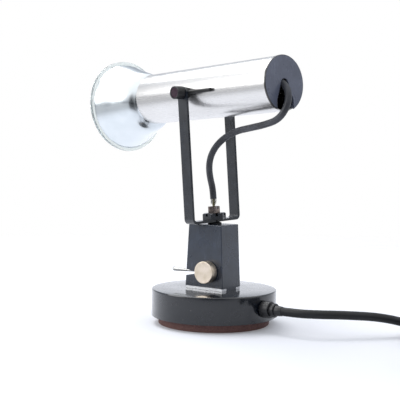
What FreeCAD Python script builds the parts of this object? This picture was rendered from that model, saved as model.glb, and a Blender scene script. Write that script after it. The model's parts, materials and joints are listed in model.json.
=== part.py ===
import FreeCAD, Part
import math
import os

from FreeCAD import Placement, Rotation, Vector

# Tabletop searchlight lamp, millimetres, +Z up.
# The origin is the centre of the foot, on the table. The lamp shines to -Y,
# the mains lead leaves at +Y and the dimmer knob is on the +X side.

X_AXIS = Vector(1, 0, 0)
Y_AXIS = Vector(0, 1, 0)
Z_AXIS = Vector(0, 0, 1)

# Fits between pieces
running_gap = 0.15      # between faces that turn on each other
slip_gap = 0.10         # radial, between a pin or screw and its hole
seat_gap = 0.20         # between pieces that are set one in another

# Foot and drum
foot_radius = 68.4
foot_height = 9.9
foot_chamfer = 1.2
drum_radius = 77.0
drum_height = 32.9
drum_wall = 1.8
drum_top_fillet = 1.6
base_plate_thickness = 2.0
ballast_margin = 15.0   # from the drum's outside in to the ballast
ballast_height = 13.0
ballast_bore = 36.0
foot_screw_circle = 50.0
foot_screw_count = 3
foot_screw_diameter = 5.0
foot_screw_head = 9.5
foot_screw_head_height = 2.5
foot_screw_recess = 5.0   # depth of the counterbore in the foot
foot_screw_length = 12.0

# Column: the upright housing between the drum and the yoke
column_x = 1.0
column_y = -1.4
column_plate_thickness = 3.2
column_height = 76.4
column_width_bottom = 37.7
column_width_top = 36.5
column_depth_bottom = 56.8
column_depth_top = 48.8
column_wall = 2.0
column_top_wall = 3.0
column_edge_fillet = 0.9
rear_tab_width = 19.0
plate_inset = 0.5
column_screw_spacing = 38.0
column_screw_diameter = 4.0
column_screw_head = 7.0
column_screw_head_height = 2.0
column_screw_length = 11.0
column_boss_diameter = 8.0
column_boss_height = 8.0
column_rib = 2.0
lead_hole = 9.0

# Groove across the front of the column, with the switch lever in it
groove_height = 7.6
groove_floor = 2.8
groove_depth = 13.5
groove_z = 62.3
lever_x = 4.0
lever_length = 51.0
lever_tip_diameter = 5.4
lever_neck_length = 15.0
lever_neck_diameter = 2.2
lever_ball_diameter = 4.0
lever_swing = 12.0
switch_body_width = 13.0
switch_body_height = 10.0
switch_body_length = 8.6
switch_pin_diameter = 1.6
switch_pin_length = 8.0

# Dimmer on the +X face of the column
dimmer_y = 5.7
dimmer_z = 65.4
dimmer_body_diameter = 20.0
dimmer_body_length = 10.5
dimmer_bush_diameter = 9.4
dimmer_shaft_diameter = 6.0
shaft_tail = 2.0        # the shaft's seat inside the dimmer
dimmer_nut_flats = 12.0
dimmer_nut_height = 2.2
knob_diameter = 27.0
knob_thickness = 10.4
knob_stand_off = 0.8
knob_recess_diameter = 17.0
knob_recess_depth = 4.2
knob_chamfer = 0.5
knob_bore_depth = 7.2   # the shaft's length inside the knob

# Terminal block inside the column
block_width = 12.0
block_depth = 22.0
block_height = 14.0
block_z = 88.0
block_ways = 3
block_bore = 3.4

# Stem: the hollow screwed stem that carries the yoke, leaning as in use
stem_x = -0.2
stem_y = -0.6
swivel_turn = -9.4
lean_side = 2.5
lean_front = 3.0
stem_diameter = 10.0
stem_bore = 6.0
stem_below = 13.0
stem_above = 17.5
stem_nut_flats = 14.0
stem_nut_height = 4.5
stem_washer_diameter = 14.0
stem_washer_thickness = 1.2
seat_washer_diameter = 17.0
seat_washer_top = 12.5
seat_washer_edge = 1.2
castle_nut_corners = 29.6
castle_nut_height = 8.0
castle_slot_width = 3.4
castle_slot_depth = 3.6
castle_bevel = 1.2
grip_corners = 16.4
grip_height = 8.2
grip_chamfer = 1.0
grip_bore = 4.6
grip_turn = -12.0       # of the flat with the grub screw, from +Y
grub_screw_diameter = 2.6
grub_recess = 1.0
peg_diameter = 3.0
peg_length = 0.75
peg_reach = 23.0

# Yoke: one bent strip
yoke_span = 80.5        # over the outer faces of the arms
yoke_strip_width = 15.2
yoke_strip_thickness = 3.1
yoke_lift = 2.5         # underside of the bar above the column top
yoke_offset = -3.0      # the arms stand this far from the stem, to the front
yoke_bend_radius = 6.4
pivot_height = 161.2    # above the column top, along the stem

# Head: a plain tube with a cap behind and the reflector lamp in front
tube_gap = 5.4          # between an arm's inner face and the tube
tube_wall = 1.4
tube_front = 96.3       # from the pivot to the front edge
tube_rear = 128.2       # from the pivot to the outer face of the rear cap
cap_thickness = 2.2
cap_overhang = 0.5
cap_spigot_length = 8.0
cap_spigot_wall = 2.0
slot_top_diameter = 13.2
slot_top_drop = 1.0     # centre of the slot's round top below the tube axis
slot_width = 28.0
slot_flare_drop = 18.0

# Pivot screws and the pieces on them
stud_diameter = 5.0
pivot_washer_diameter = 13.0
pivot_washer_thickness = 1.0
tilt_knob_diameter = 15.4
tilt_knob_length = 11.4
tilt_knob_bore_depth = 8.6
tilt_knob_flutes = 20
tilt_knob_flute_depth = 0.45
tilt_knob_flute_width = 1.5
tilt_knob_land = 1.1    # plain edge at each end of the flutes
knob_disc_diameter = 12.0
knob_disc_thickness = 1.2
knob_disc_recess = 0.3
far_head_diameter = 11.0
far_head_height = 4.0
far_head_slot = 1.4
far_head_slot_depth = 1.4
far_head_round = 1.0
spacer_diameter = 13.0
lever_rod_diameter = 4.4
lever_rod_reach = 44.0
lever_rod_round = 0.9
stud_nut_flats = 9.0
stud_nut_height = 4.0

# Lampholder and its bracket, which droop a little with the lamp
droop_angle = 2.6
droop_centre = 40.0     # ahead of the pivot
bracket_clearance = 1.25    # between the bracket's legs and the tube's wall
bracket_strip = 11.0
bracket_thickness = 2.0
bracket_leg = 17.0
holder_diameter = 40.0
holder_front = 10.0
holder_rear = 30.0
holder_back_diameter = 28.0
holder_back_length = 6.0
holder_edge = 1.0
nipple_diameter = 10.0
nipple_bore = 8.6
nipple_rear = 10.0      # behind the back of the lampholder
nipple_front = 4.0

# Reflector lamp, measured forward along its own axis from the droop centre
cap_thread_diameter = 26.2
cap_rear = -9.0
cap_contact = -14.0
contact_radius = 4.0
cap_end_radius = 9.5
cap_front = 13.0
neck_radius = 17.0
neck_mid = 42.0
neck_swell = 0.35       # the neck's middle stands out from a straight cone
mouth_station = 58.2
mouth_gap = 3.05        # between the neck and the tube at the tube's mouth
shoulder_station = 63.0
shoulder_radius = 35.5
bowl_station = 80.0
bowl_radius = 43.0
bowl_front_radius = 56.3
rim_rear = 112.0
rim_front = 116.6
rim_radius = 59.9
rim_chamfer = 0.8
lens_bulge = 5.4
glass_wall = 2.4

# Flex from the stem up to the lampholder
flex_diameter = 8.0
core_diameter = 3.4
cores_low = -6.0        # lower end of the cores, inside the stem
sheath_end = 31.0       # above the column top, along the stem

# Mains lead, its gland and its plug
mains_diameter = 10.2
gland_x = 6.5
gland_z = 26.4
gland_body_diameter = 20.0
gland_body_length = 11.5
gland_groove_diameter = 14.5
gland_groove_length = 2.2
gland_ring_diameter = 16.6
gland_ring_length = 4.0
gland_sleeve_length = 9.0
gland_sleeve_diameter = 12.6
gland_thread_diameter = 16.0
gland_nut_flats = 22.0
gland_nut_height = 5.0
gland_chamfer = 0.8
gland_lip = 0.5
lead_inside = 4.0       # the lead's end past the gland, inside the drum
coil_x = -78.0
coil_y = 304.0
coil_middle_radius = 57.7
coil_columns = 3.1      # width of the coil's section in lead diameters
coil_layers = 2
tie_angle = -40.0
tie_width = 12.0
tie_thickness = 0.8
tie_slack = 0.6         # room for the coil's curve inside the strap
entry_angle = 227.0     # where the lead runs into the coil, seen from above
exit_angle = 75.0
tail_first = 25.0       # along the tail from the coil to its three corners
tail_second = 48.0
tail_end = 71.0
tail_bend = 8.0         # sideways at the plug
tail_first_bend = 2.5
tail_first_rise = 0.3   # share of the rise to the plug at the first corner
plug_diameter = 37.0
plug_flange = 8.0
plug_body_length = 44.0
plug_neck_length = 20.0
plug_neck_start = 12.0
plug_neck_end = 15.4
plug_waist_start = 26.6
plug_waist_end = 31.0
pin_diameter = 4.8
pin_length = 19.0
pin_round = 1.4
pin_spacing = 19.0

# Values worked out from those above
ballast_radius = drum_radius - ballast_margin
drum_top = foot_height + drum_height
column_bottom = drum_top + column_plate_thickness
column_top = column_bottom + column_height
arm_outer = yoke_span / 2
arm_inner = arm_outer - yoke_strip_thickness
bar_top = yoke_lift + yoke_strip_thickness
tube_outer = arm_inner - tube_gap
tube_diameter = 2 * tube_outer
tube_inner = tube_outer - tube_wall
castle_top = bar_top + castle_nut_height
grip_top = castle_top + grip_height
pivot_y = yoke_offset
bracket_outer = tube_inner - bracket_clearance
bracket_inner = bracket_outer - bracket_thickness
mouth_radius = tube_inner - mouth_gap
neck_mid_radius = (neck_radius + mouth_radius) / 2 + neck_swell
coil_width = coil_columns * mains_diameter
coil_lift = tie_thickness + seat_gap
holder_bore = cap_thread_diameter + 2 * slip_gap

# The upper frame has its origin at the foot of the stem and its Z along it.
lean = Rotation(Z_AXIS, swivel_turn) * Rotation(Y_AXIS, lean_side) * Rotation(X_AXIS, lean_front)
UPPER = Placement(Vector(stem_x, stem_y, column_top), lean)

# The lamp frame has its origin at the droop centre and its +Y to the rear.
DROOP = Placement(Vector(0, pivot_y - droop_centre, pivot_height), Rotation(X_AXIS, droop_angle))


# Small shape helpers

def cylinder(diameter, start, end):
    """A round bar between two points."""
    run = end - start
    return Part.makeCylinder(diameter / 2, run.Length, start, run)


def ring(outer, inner, start, end):
    """A round bar with a bore."""
    margin = (end - start).normalize()
    return cylinder(outer, start, end).cut(cylinder(inner, start - margin, end + margin))


def block(x0, x1, y0, y1, z0, z1):
    return Part.makeBox(x1 - x0, y1 - y0, z1 - z0, Vector(x0, y0, z0))


def revolve_y(outline):
    """Turns an outline of (station, radius) points about the Y axis."""
    points = [Vector(radius, station, 0) for station, radius in outline]
    face = Part.Face(Part.makePolygon(points + points[:1]))
    return face.revolve(Vector(0, 0, 0), Y_AXIS, 360)


def revolve_z(outline):
    """Turns an outline of (radius, height) points about the Z axis."""
    points = [Vector(radius, 0, height) for radius, height in outline]
    face = Part.Face(Part.makePolygon(points + points[:1]))
    return face.revolve(Vector(0, 0, 0), Z_AXIS, 360)


def hexagon(corners, start, end):
    """A hexagonal bar; its size is measured over the corners."""
    run = end - start
    side = run.cross(X_AXIS) if abs(run.normalize().x) < 0.9 else run.cross(Z_AXIS)
    side.normalize()
    turn = Rotation(end - start, 60)
    corner = side * (corners / 2)
    points = []
    for _ in range(6):
        points.append(start + corner)
        corner = turn.multVec(corner)
    return Part.Face(Part.makePolygon(points + points[:1])).extrude(end - start)


def flats(width):
    """Size over the corners of a hexagon with this size over its flats."""
    return width / math.cos(math.radians(30))


def fillet_where(shape, radius, wanted):
    """Rounds the edges that pass a test of their middle point."""
    edges = [edge for edge in shape.Edges if wanted(edge.CenterOfMass)]
    return shape.makeFillet(radius, edges)


def save(name, shape, frame=None):
    """Writes one sub-part, moved into its frame."""
    if frame is not None:
        shape = shape.transformed(frame.toMatrix(), True)
    shape.exportStep("parts/" + name + ".step")


def around_z(count, radius):
    """Points evenly round the Z axis."""
    for index in range(count):
        angle = math.radians(90 + 360 * index / count)
        yield Vector(radius * math.cos(angle), radius * math.sin(angle), 0)


# Foot and drum

def foot_disc():
    disc = revolve_z([
        (0, 0), (foot_radius - foot_chamfer, 0), (foot_radius, foot_chamfer),
        (foot_radius, foot_height), (0, foot_height)])
    for spot in around_z(foot_screw_count, foot_screw_circle):
        up = Z_AXIS * foot_height
        recess = Z_AXIS * foot_screw_recess
        disc = disc.cut(cylinder(foot_screw_diameter + 2 * slip_gap, spot - Z_AXIS, spot + up + Z_AXIS))
        disc = disc.cut(cylinder(foot_screw_head + 2 * seat_gap, spot - Z_AXIS, spot + recess))
    return disc


def base_plate():
    radius = drum_radius - drum_wall - seat_gap
    top = foot_height + base_plate_thickness
    plate = cylinder(2 * radius, Z_AXIS * foot_height, Z_AXIS * top)
    for spot in around_z(foot_screw_count, foot_screw_circle):
        hole = foot_screw_diameter + 2 * slip_gap
        plate = plate.cut(cylinder(hole, spot, spot + Z_AXIS * (top + 1)))
    return plate


def drum_shell():
    outer = cylinder(2 * drum_radius, Z_AXIS * foot_height, Z_AXIS * drum_top)
    outer = fillet_where(outer, drum_top_fillet, lambda p: p.z > drum_top - 0.1)
    ceiling = Z_AXIS * (drum_top - drum_wall)
    inner = cylinder(2 * (drum_radius - drum_wall), Z_AXIS * (foot_height - 1), ceiling)
    shell = outer.cut(inner)
    centre = Vector(column_x, column_y, 0)
    shell = shell.cut(cylinder(lead_hole, centre + Z_AXIS * foot_height, centre + Z_AXIS * column_bottom))
    for spot in column_screw_spots():
        hole = column_screw_diameter + 2 * slip_gap
        shell = shell.cut(cylinder(hole, spot + Z_AXIS * foot_height, spot + Z_AXIS * column_bottom))
    thread = gland_thread_diameter + 2 * slip_gap
    start = Vector(gland_x, drum_radius - 4 * drum_wall, gland_z)
    return shell.cut(cylinder(thread, start, start + Y_AXIS * 8 * drum_wall))


def ballast():
    low = foot_height + base_plate_thickness
    body = ring(2 * ballast_radius, ballast_bore, Z_AXIS * low, Z_AXIS * (low + ballast_height))
    for spot in around_z(foot_screw_count, foot_screw_circle):
        hole = foot_screw_diameter + 2 * slip_gap
        body = body.cut(cylinder(hole, spot, spot + Z_AXIS * (low + foot_screw_length)))
    return body


def foot_screws():
    """Three pan-head screws up through the foot into the ballast."""
    screws = []
    head_top = foot_screw_recess
    head_low = head_top - foot_screw_head_height
    tip = head_top + foot_screw_length
    for spot in around_z(foot_screw_count, foot_screw_circle):
        head = cylinder(foot_screw_head, spot + Z_AXIS * head_low, spot + Z_AXIS * head_top)
        shank = cylinder(foot_screw_diameter, spot + Z_AXIS * head_top, spot + Z_AXIS * tip)
        screws.append(head.fuse(shank))
    return Part.makeCompound(screws)


# Column

def column_section(height, inset):
    """The column's outline at a height, drawn in by an inset."""
    share = (height - column_bottom) / column_height
    half_x = (column_width_bottom + (column_width_top - column_width_bottom) * share) / 2 - inset
    half_y = (column_depth_bottom + (column_depth_top - column_depth_bottom) * share) / 2 - inset
    corners = [(-half_x, -half_y), (half_x, -half_y), (half_x, half_y), (-half_x, half_y)]
    points = [Vector(column_x + x, column_y + y, height) for x, y in corners]
    return Part.makePolygon(points + points[:1])


def column_front(height):
    """Y of the column's front face at a height."""
    share = (height - column_bottom) / column_height
    return column_y - (column_depth_bottom + (column_depth_top - column_depth_bottom) * share) / 2


def column_side(height):
    """X of the column's +X face at a height."""
    share = (height - column_bottom) / column_height
    return column_x + (column_width_bottom + (column_width_top - column_width_bottom) * share) / 2


def column_screw_spots():
    for side in (-1, 1):
        yield Vector(column_x, column_y + side * column_screw_spacing / 2, 0)


def groove_prism(wall):
    """The groove's wedge across the column, grown by a wall."""
    front = column_front(groove_z) - 4 * column_wall
    floor = column_front(groove_z) + groove_depth
    slope = (groove_height - groove_floor) / 2 / groove_depth
    half_floor = groove_floor / 2
    half_front = half_floor + slope * (floor - front)
    reach = column_width_bottom
    points = [
        Vector(column_x - reach, front, groove_z - half_front - wall),
        Vector(column_x - reach, floor + wall, groove_z - half_floor - wall),
        Vector(column_x - reach, floor + wall, groove_z + half_floor + wall),
        Vector(column_x - reach, front, groove_z + half_front + wall)]
    return Part.Face(Part.makePolygon(points + points[:1])).extrude(X_AXIS * 2 * reach)


def rear_tab(gap):
    """The tongue of the rear wall that reaches down to the drum, grown by a gap."""
    half = rear_tab_width / 2 + gap
    rear = column_y + column_depth_bottom / 2
    return block(column_x - half, column_x + half, rear - column_wall - gap, rear + gap,
                 drum_top, column_bottom)


def housing():
    outer = Part.makeLoft([column_section(column_bottom, 0), column_section(column_top, 0)], True)
    sharp = [edge for edge in outer.Edges if edge.CenterOfMass.z > column_bottom + 1]
    outer = outer.makeFillet(column_edge_fillet, sharp)
    cavity_top = column_top - column_top_wall
    cavity = Part.makeLoft([
        column_section(column_bottom - 1, column_wall),
        column_section(cavity_top, column_wall)], True)
    cavity = cavity.cut(groove_prism(column_wall))
    shell = outer.cut(cavity).cut(groove_prism(0)).fuse(rear_tab(0))
    boss_top = column_bottom + column_boss_height
    rib_reach = (column_width_bottom - column_wall) / 2
    for spot in column_screw_spots():
        boss = cylinder(column_boss_diameter, spot + Z_AXIS * column_bottom, spot + Z_AXIS * boss_top)
        rib = block(spot.x - rib_reach, spot.x + rib_reach, spot.y - column_rib / 2,
                    spot.y + column_rib / 2, column_bottom, boss_top)
        shell = shell.fuse(boss.fuse(rib))
    hole = column_screw_diameter + 2 * slip_gap
    tip = drum_top - drum_wall + column_screw_length + seat_gap
    for spot in column_screw_spots():
        shell = shell.cut(cylinder(hole, spot, spot + Z_AXIS * tip))
    floor = column_front(groove_z) + groove_depth
    reach = switch_pivot().y - floor
    swing = reach * math.tan(math.radians(lever_swing)) + lever_neck_diameter
    half_slot = lever_neck_diameter / 2 + 2 * seat_gap
    shell = shell.cut(block(lever_x - swing, lever_x + swing, floor - 1, floor + column_wall + 1,
                            groove_z - half_slot, groove_z + half_slot))
    dimmer = Vector(column_side(dimmer_z) - 2 * column_wall, dimmer_y, dimmer_z)
    bush_hole = dimmer_bush_diameter + 2 * slip_gap
    shell = shell.cut(cylinder(bush_hole, dimmer, dimmer + X_AXIS * 4 * column_wall))
    through = Z_AXIS * 2 * column_top_wall
    stem_hole = cylinder(stem_diameter + 4 * seat_gap, -through, through)
    return shell.cut(stem_hole.transformed(UPPER.toMatrix(), True))


def column_plate():
    outline = Part.Face(column_section(column_bottom, plate_inset))
    plate = outline.extrude(Z_AXIS * -column_plate_thickness)
    plate = plate.cut(rear_tab(seat_gap))
    centre = Vector(column_x, column_y, 0)
    plate = plate.cut(cylinder(lead_hole, centre, centre + Z_AXIS * column_top))
    hole = column_screw_diameter + 2 * slip_gap
    for spot in column_screw_spots():
        plate = plate.cut(cylinder(hole, spot, spot + Z_AXIS * column_top))
    return plate


def column_screws():
    """Two screws from inside the drum up into the column's bosses."""
    screws = []
    seat = drum_top - drum_wall
    low = seat - column_screw_head_height
    tip = seat + column_screw_length
    for spot in column_screw_spots():
        head = cylinder(column_screw_head, spot + Z_AXIS * low, spot + Z_AXIS * seat)
        shank = cylinder(column_screw_diameter, spot + Z_AXIS * seat, spot + Z_AXIS * tip)
        screws.append(head.fuse(shank))
    return Part.makeCompound(screws)


# Switch with its bat lever

def switch_pivot():
    """The lever's pivot point, behind the floor of the groove."""
    floor = column_front(groove_z) + groove_depth + column_wall
    return Vector(lever_x, floor + lever_ball_diameter / 2 + seat_gap, groove_z)


def switch_body():
    pivot = switch_pivot()
    front = column_front(groove_z) + groove_depth + column_wall
    half_x = switch_body_width / 2
    half_z = switch_body_height / 2
    body = block(pivot.x - half_x, pivot.x + half_x, front, front + switch_body_length,
                 pivot.z - half_z, pivot.z + half_z)
    pocket = lever_ball_diameter / 2 + seat_gap
    side = pocket + lever_neck_diameter
    body = body.cut(block(pivot.x - side, pivot.x + side, front - 1, pivot.y + pocket,
                          pivot.z - pocket, pivot.z + pocket))
    return body.cut(switch_pin())


def switch_pin():
    pivot = switch_pivot()
    half = Z_AXIS * (switch_pin_length / 2)
    return cylinder(switch_pin_diameter, pivot - half, pivot + half)


def switch_lever():
    """A ball on the pin, a thin neck and a bat that swells to a round tip."""
    neck = lever_neck_diameter / 2
    tip = lever_tip_diameter / 2
    shoulder = Vector(neck, 0, 0)
    low = lever_neck_length
    edges = [
        Part.LineSegment(Vector(0, 0, 0), shoulder),
        Part.LineSegment(shoulder, Vector(neck, low, 0)),
        Part.LineSegment(Vector(neck, low, 0), Vector(tip, lever_length - tip, 0)),
        Part.Arc(Vector(tip, lever_length - tip, 0),
                 Vector(tip * math.sqrt(0.5), lever_length - tip + tip * math.sqrt(0.5), 0),
                 Vector(0, lever_length, 0)),
        Part.LineSegment(Vector(0, lever_length, 0), Vector(0, 0, 0))]
    wire = Part.Wire([edge.toShape() for edge in edges])
    bat = Part.Face(wire).revolve(Vector(0, 0, 0), Y_AXIS, 360)
    bat.rotate(Vector(0, 0, 0), Z_AXIS, 180)
    ball = Part.makeSphere(lever_ball_diameter / 2)
    through = Z_AXIS * lever_ball_diameter
    pin_hole = cylinder(switch_pin_diameter + 2 * slip_gap, -through, through)
    lever = bat.fuse(ball).cut(pin_hole)
    return lever.translated(switch_pivot())


# Dimmer

def dimmer_point(out):
    """A point on the dimmer's axis, this far out from the column's face."""
    return Vector(column_side(dimmer_z) + out, dimmer_y, dimmer_z)


def dimmer_body():
    back = -column_wall - seat_gap
    front = knob_stand_off + dimmer_nut_height
    body = cylinder(dimmer_body_diameter, dimmer_point(back - dimmer_body_length), dimmer_point(back))
    bush = cylinder(dimmer_bush_diameter, dimmer_point(back), dimmer_point(front))
    bore = dimmer_shaft_diameter + 2 * slip_gap
    return body.fuse(bush).cut(cylinder(bore, dimmer_point(back - shaft_tail), dimmer_point(front + 1)))


def dimmer_nut():
    low = dimmer_point(seat_gap)
    nut = hexagon(flats(dimmer_nut_flats), low, dimmer_point(dimmer_nut_height))
    hole = dimmer_bush_diameter + 2 * slip_gap
    return nut.cut(cylinder(hole, dimmer_point(-1), dimmer_point(knob_thickness)))


def dimmer_shaft():
    start = -column_wall - seat_gap - shaft_tail + running_gap
    end = knob_stand_off + knob_bore_depth
    return cylinder(dimmer_shaft_diameter, dimmer_point(start), dimmer_point(end))


def dimmer_knob():
    low = knob_stand_off
    top = knob_stand_off + knob_thickness
    knob = cylinder(knob_diameter, dimmer_point(low), dimmer_point(top))
    face_x = dimmer_point(top).x
    knob = fillet_where(knob, knob_chamfer, lambda p: abs(p.x - face_x) < 0.1)
    recess = dimmer_point(low + knob_recess_depth)
    knob = knob.cut(cylinder(knob_recess_diameter, dimmer_point(low - 1), recess))
    bore_end = dimmer_point(low + knob_bore_depth)
    return knob.cut(cylinder(dimmer_shaft_diameter, dimmer_point(low - 1), bore_end))


# Terminal block on the column's far wall

def terminal_block():
    wall = 2 * column_x - column_side(block_z + block_height) + column_wall + running_gap
    body = block(wall, wall + block_width, column_y - block_depth / 2, column_y + block_depth / 2,
                 block_z, block_z + block_height)
    pitch = block_depth / block_ways
    for way in range(block_ways):
        y = column_y - block_depth / 2 + pitch * (way + 0.5)
        start = Vector(wall + block_width / 2, y, block_z - 1)
        body = body.cut(cylinder(block_bore, start, start + Z_AXIS * (block_height + 2)))
    return body


# Stem, nuts and yoke, in the upper frame

def stem_tube():
    return ring(stem_diameter, stem_bore, Z_AXIS * -stem_below, Z_AXIS * stem_above)


def seat_washer():
    """The shaped cushion between the column top and the leaning yoke."""
    height = 2 * column_top_wall
    cone = revolve_z([
        (0, -height), (seat_washer_diameter / 2, -height), (seat_washer_diameter / 2, seat_washer_edge),
        (seat_washer_top / 2, yoke_lift - running_gap), (0, yoke_lift - running_gap)])
    cone = cone.cut(cylinder(stem_diameter + 4 * seat_gap, Z_AXIS * -2 * height, Z_AXIS * height))
    cone = cone.transformed(UPPER.toMatrix(), True)
    reach = column_width_bottom
    return cone.common(block(-reach, reach, -reach, reach, column_top, column_top + height))


def inner_washer_top():
    """Underside of the column's top wall, less the rise of a leaning washer."""
    rise = stem_washer_diameter / 2 * math.tan(math.radians(math.hypot(lean_side, lean_front)))
    return -column_top_wall - rise - running_gap


def stem_washer():
    top = inner_washer_top()
    hole = stem_diameter + 2 * slip_gap
    return ring(stem_washer_diameter, hole, Z_AXIS * (top - stem_washer_thickness), Z_AXIS * top)


def stem_nut():
    top = inner_washer_top() - stem_washer_thickness
    nut = hexagon(flats(stem_nut_flats), Z_AXIS * (top - stem_nut_height), Z_AXIS * top)
    return nut.cut(cylinder(stem_diameter + 2 * slip_gap, Z_AXIS * -3 * stem_below, Z_AXIS))


def castle_nut():
    """A slotted hexagon nut that clamps the yoke's bar."""
    nut = hexagon(castle_nut_corners, Z_AXIS * bar_top, Z_AXIS * castle_top)
    corner = castle_nut_corners / 2
    cone = revolve_z([
        (0, bar_top), (corner, bar_top), (corner, castle_top - castle_bevel),
        (corner - castle_bevel * 1.6, castle_top), (0, castle_top)])
    nut = nut.common(cone)
    half = castle_slot_width / 2
    slot = block(-2 * corner, 2 * corner, -half, half, castle_top - castle_slot_depth, castle_top + 1)
    for turn in (0, 60, 120):
        cutter = slot.copy()
        cutter.rotate(Vector(0, 0, 0), Z_AXIS, turn)
        nut = nut.cut(cutter)
    return nut.cut(cylinder(stem_diameter + 2 * slip_gap, Z_AXIS * 0, Z_AXIS * (castle_top + 1)))


def cord_grip():
    """The small hexagon cap on the stem that holds the flex's cores."""
    grip = hexagon(grip_corners, Z_AXIS * castle_top, Z_AXIS * grip_top)
    cone = revolve_z([
        (0, castle_top), (grip_corners / 2, castle_top), (grip_corners / 2, grip_top - grip_chamfer),
        (grip_corners / 2 - 1.6 * grip_chamfer, grip_top), (0, grip_top)])
    grip = grip.common(cone)
    grip.rotate(Vector(0, 0, 0), Z_AXIS, 30 + grip_turn)
    grip = grip.cut(cylinder(stem_diameter + 2 * slip_gap, Z_AXIS * 0, Z_AXIS * (stem_above + seat_gap)))
    grip = grip.cut(cylinder(grip_bore, Z_AXIS * castle_top, Z_AXIS * (grip_top + 1)))
    return grip.cut(grub_shape(0))


def grub_shape(shortening):
    """The grub screw in one flank of the cord grip, or its hole."""
    middle = Z_AXIS * (stem_above + (grip_top - stem_above) / 2)
    way = Rotation(Z_AXIS, grip_turn).multVec(Y_AXIS)
    flank = grip_corners / 2 * math.cos(math.radians(30))
    start = grip_bore / 2 - running_gap
    return cylinder(grub_screw_diameter, middle + way * start, middle + way * (flank - shortening))


def grub_screw():
    return grub_shape(grub_recess)


def bar_peg():
    """The short peg under the bar, on the knob side."""
    spot = Vector(peg_reach, yoke_offset, 0)
    return cylinder(peg_diameter, spot + Z_AXIS * (yoke_lift - peg_length), spot + Z_AXIS * bar_top)


def yoke_strip():
    """One strip bent into a U, with round ends and three holes."""
    top = pivot_height + yoke_strip_width / 2
    inner_bend = yoke_bend_radius - yoke_strip_thickness
    outer = block(-arm_outer, arm_outer, 0, yoke_strip_width, yoke_lift, top)
    outer = fillet_where(outer, yoke_bend_radius,
                         lambda p: abs(p.z - yoke_lift) < 0.1 and abs(abs(p.x) - arm_outer) < 0.1)
    inner = block(-arm_inner, arm_inner, -1, yoke_strip_width + 1, bar_top, top + 1)
    inner = fillet_where(inner, inner_bend,
                         lambda p: abs(p.z - bar_top) < 0.1 and abs(abs(p.x) - arm_inner) < 0.1)
    strip = outer.cut(inner).translated(Vector(0, pivot_y - yoke_strip_width / 2, 0))
    half = yoke_strip_width / 2
    round_end = cylinder(yoke_strip_width, Vector(-arm_outer - 1, pivot_y, pivot_height),
                         Vector(arm_outer + 1, pivot_y, pivot_height))
    below = block(-arm_outer - 1, arm_outer + 1, pivot_y - half, pivot_y + half, 0, pivot_height)
    strip = strip.common(round_end.fuse(below))
    past = arm_outer + 1
    stud_hole = cylinder(stud_diameter + 2 * slip_gap, pivot_point(-past), pivot_point(past))
    stem_hole = cylinder(stem_diameter + 2 * slip_gap, Z_AXIS * 0, Z_AXIS * (bar_top + 1))
    return strip.cut(stud_hole).cut(stem_hole).cut(bar_peg())


# Head, in the upper frame; the pivot axis is parallel to X

def pivot_point(x):
    return Vector(x, pivot_y, pivot_height)


def head_point(back, x=0, up=0):
    """A point measured from the pivot along the tube's axis to the rear."""
    return Vector(x, pivot_y + back, pivot_height + up)


def lamp_tube():
    rear = tube_rear - cap_thickness
    tube = ring(tube_diameter, 2 * tube_inner, head_point(-tube_front), head_point(rear))
    hole = stud_diameter + 2 * slip_gap
    return tube.cut(cylinder(hole, pivot_point(-tube_outer - 1), pivot_point(tube_outer + 1)))


def slot_prism(start, end):
    """The flared slot of the rear cap, from its round top down to the edge."""
    top = -slot_top_drop
    flare = top - slot_flare_drop
    reach = -tube_diameter
    half_top = slot_top_diameter / 2
    half = slot_width / 2
    outline = [(-half_top, top), (-half, flare), (-half, reach)]
    outline += [(half, reach), (half, flare), (half_top, top)]
    points = [head_point(start, x, up) for x, up in outline]
    flared = Part.Face(Part.makePolygon(points + points[:1])).extrude(Y_AXIS * (end - start))
    return flared.fuse(cylinder(slot_top_diameter, head_point(start, 0, top), head_point(end, 0, top)))


def rear_cap():
    flange_start = tube_rear - cap_thickness
    flange = cylinder(tube_diameter + 2 * cap_overhang, head_point(flange_start), head_point(tube_rear))
    flange = fillet_where(flange, cap_overhang, lambda p: p.y > head_point(tube_rear).y - 0.1)
    spigot_outer = 2 * (tube_inner - slip_gap)
    spigot = ring(spigot_outer, spigot_outer - 2 * cap_spigot_wall,
                  head_point(flange_start - cap_spigot_length), head_point(flange_start))
    cap = flange.fuse(spigot)
    return cap.cut(slot_prism(flange_start - cap_spigot_length - 1, tube_rear + 1))


def pivot_stud():
    """The screw through the knob-side arm, from the nut inside the tube."""
    start = bracket_inner - stud_nut_height
    end = knob_start() + tilt_knob_bore_depth
    return cylinder(stud_diameter, pivot_point(start), pivot_point(end))


def stud_nuts():
    """The two nuts inside the tube, against the bracket's legs."""
    nuts = []
    for side in (-1, 1):
        nut = hexagon(flats(stud_nut_flats), pivot_point(side * (bracket_inner - stud_nut_height)),
                      pivot_point(side * bracket_inner))
        hole = stud_diameter + 2 * slip_gap
        nuts.append(nut.cut(cylinder(hole, pivot_point(0), pivot_point(side * tube_outer))))
    return Part.makeCompound(nuts)


def pivot_washer():
    start = arm_outer + running_gap
    end = arm_outer + pivot_washer_thickness
    return ring(pivot_washer_diameter, stud_diameter + 2 * slip_gap, pivot_point(start), pivot_point(end))


def knob_start():
    return arm_outer + pivot_washer_thickness


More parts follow.
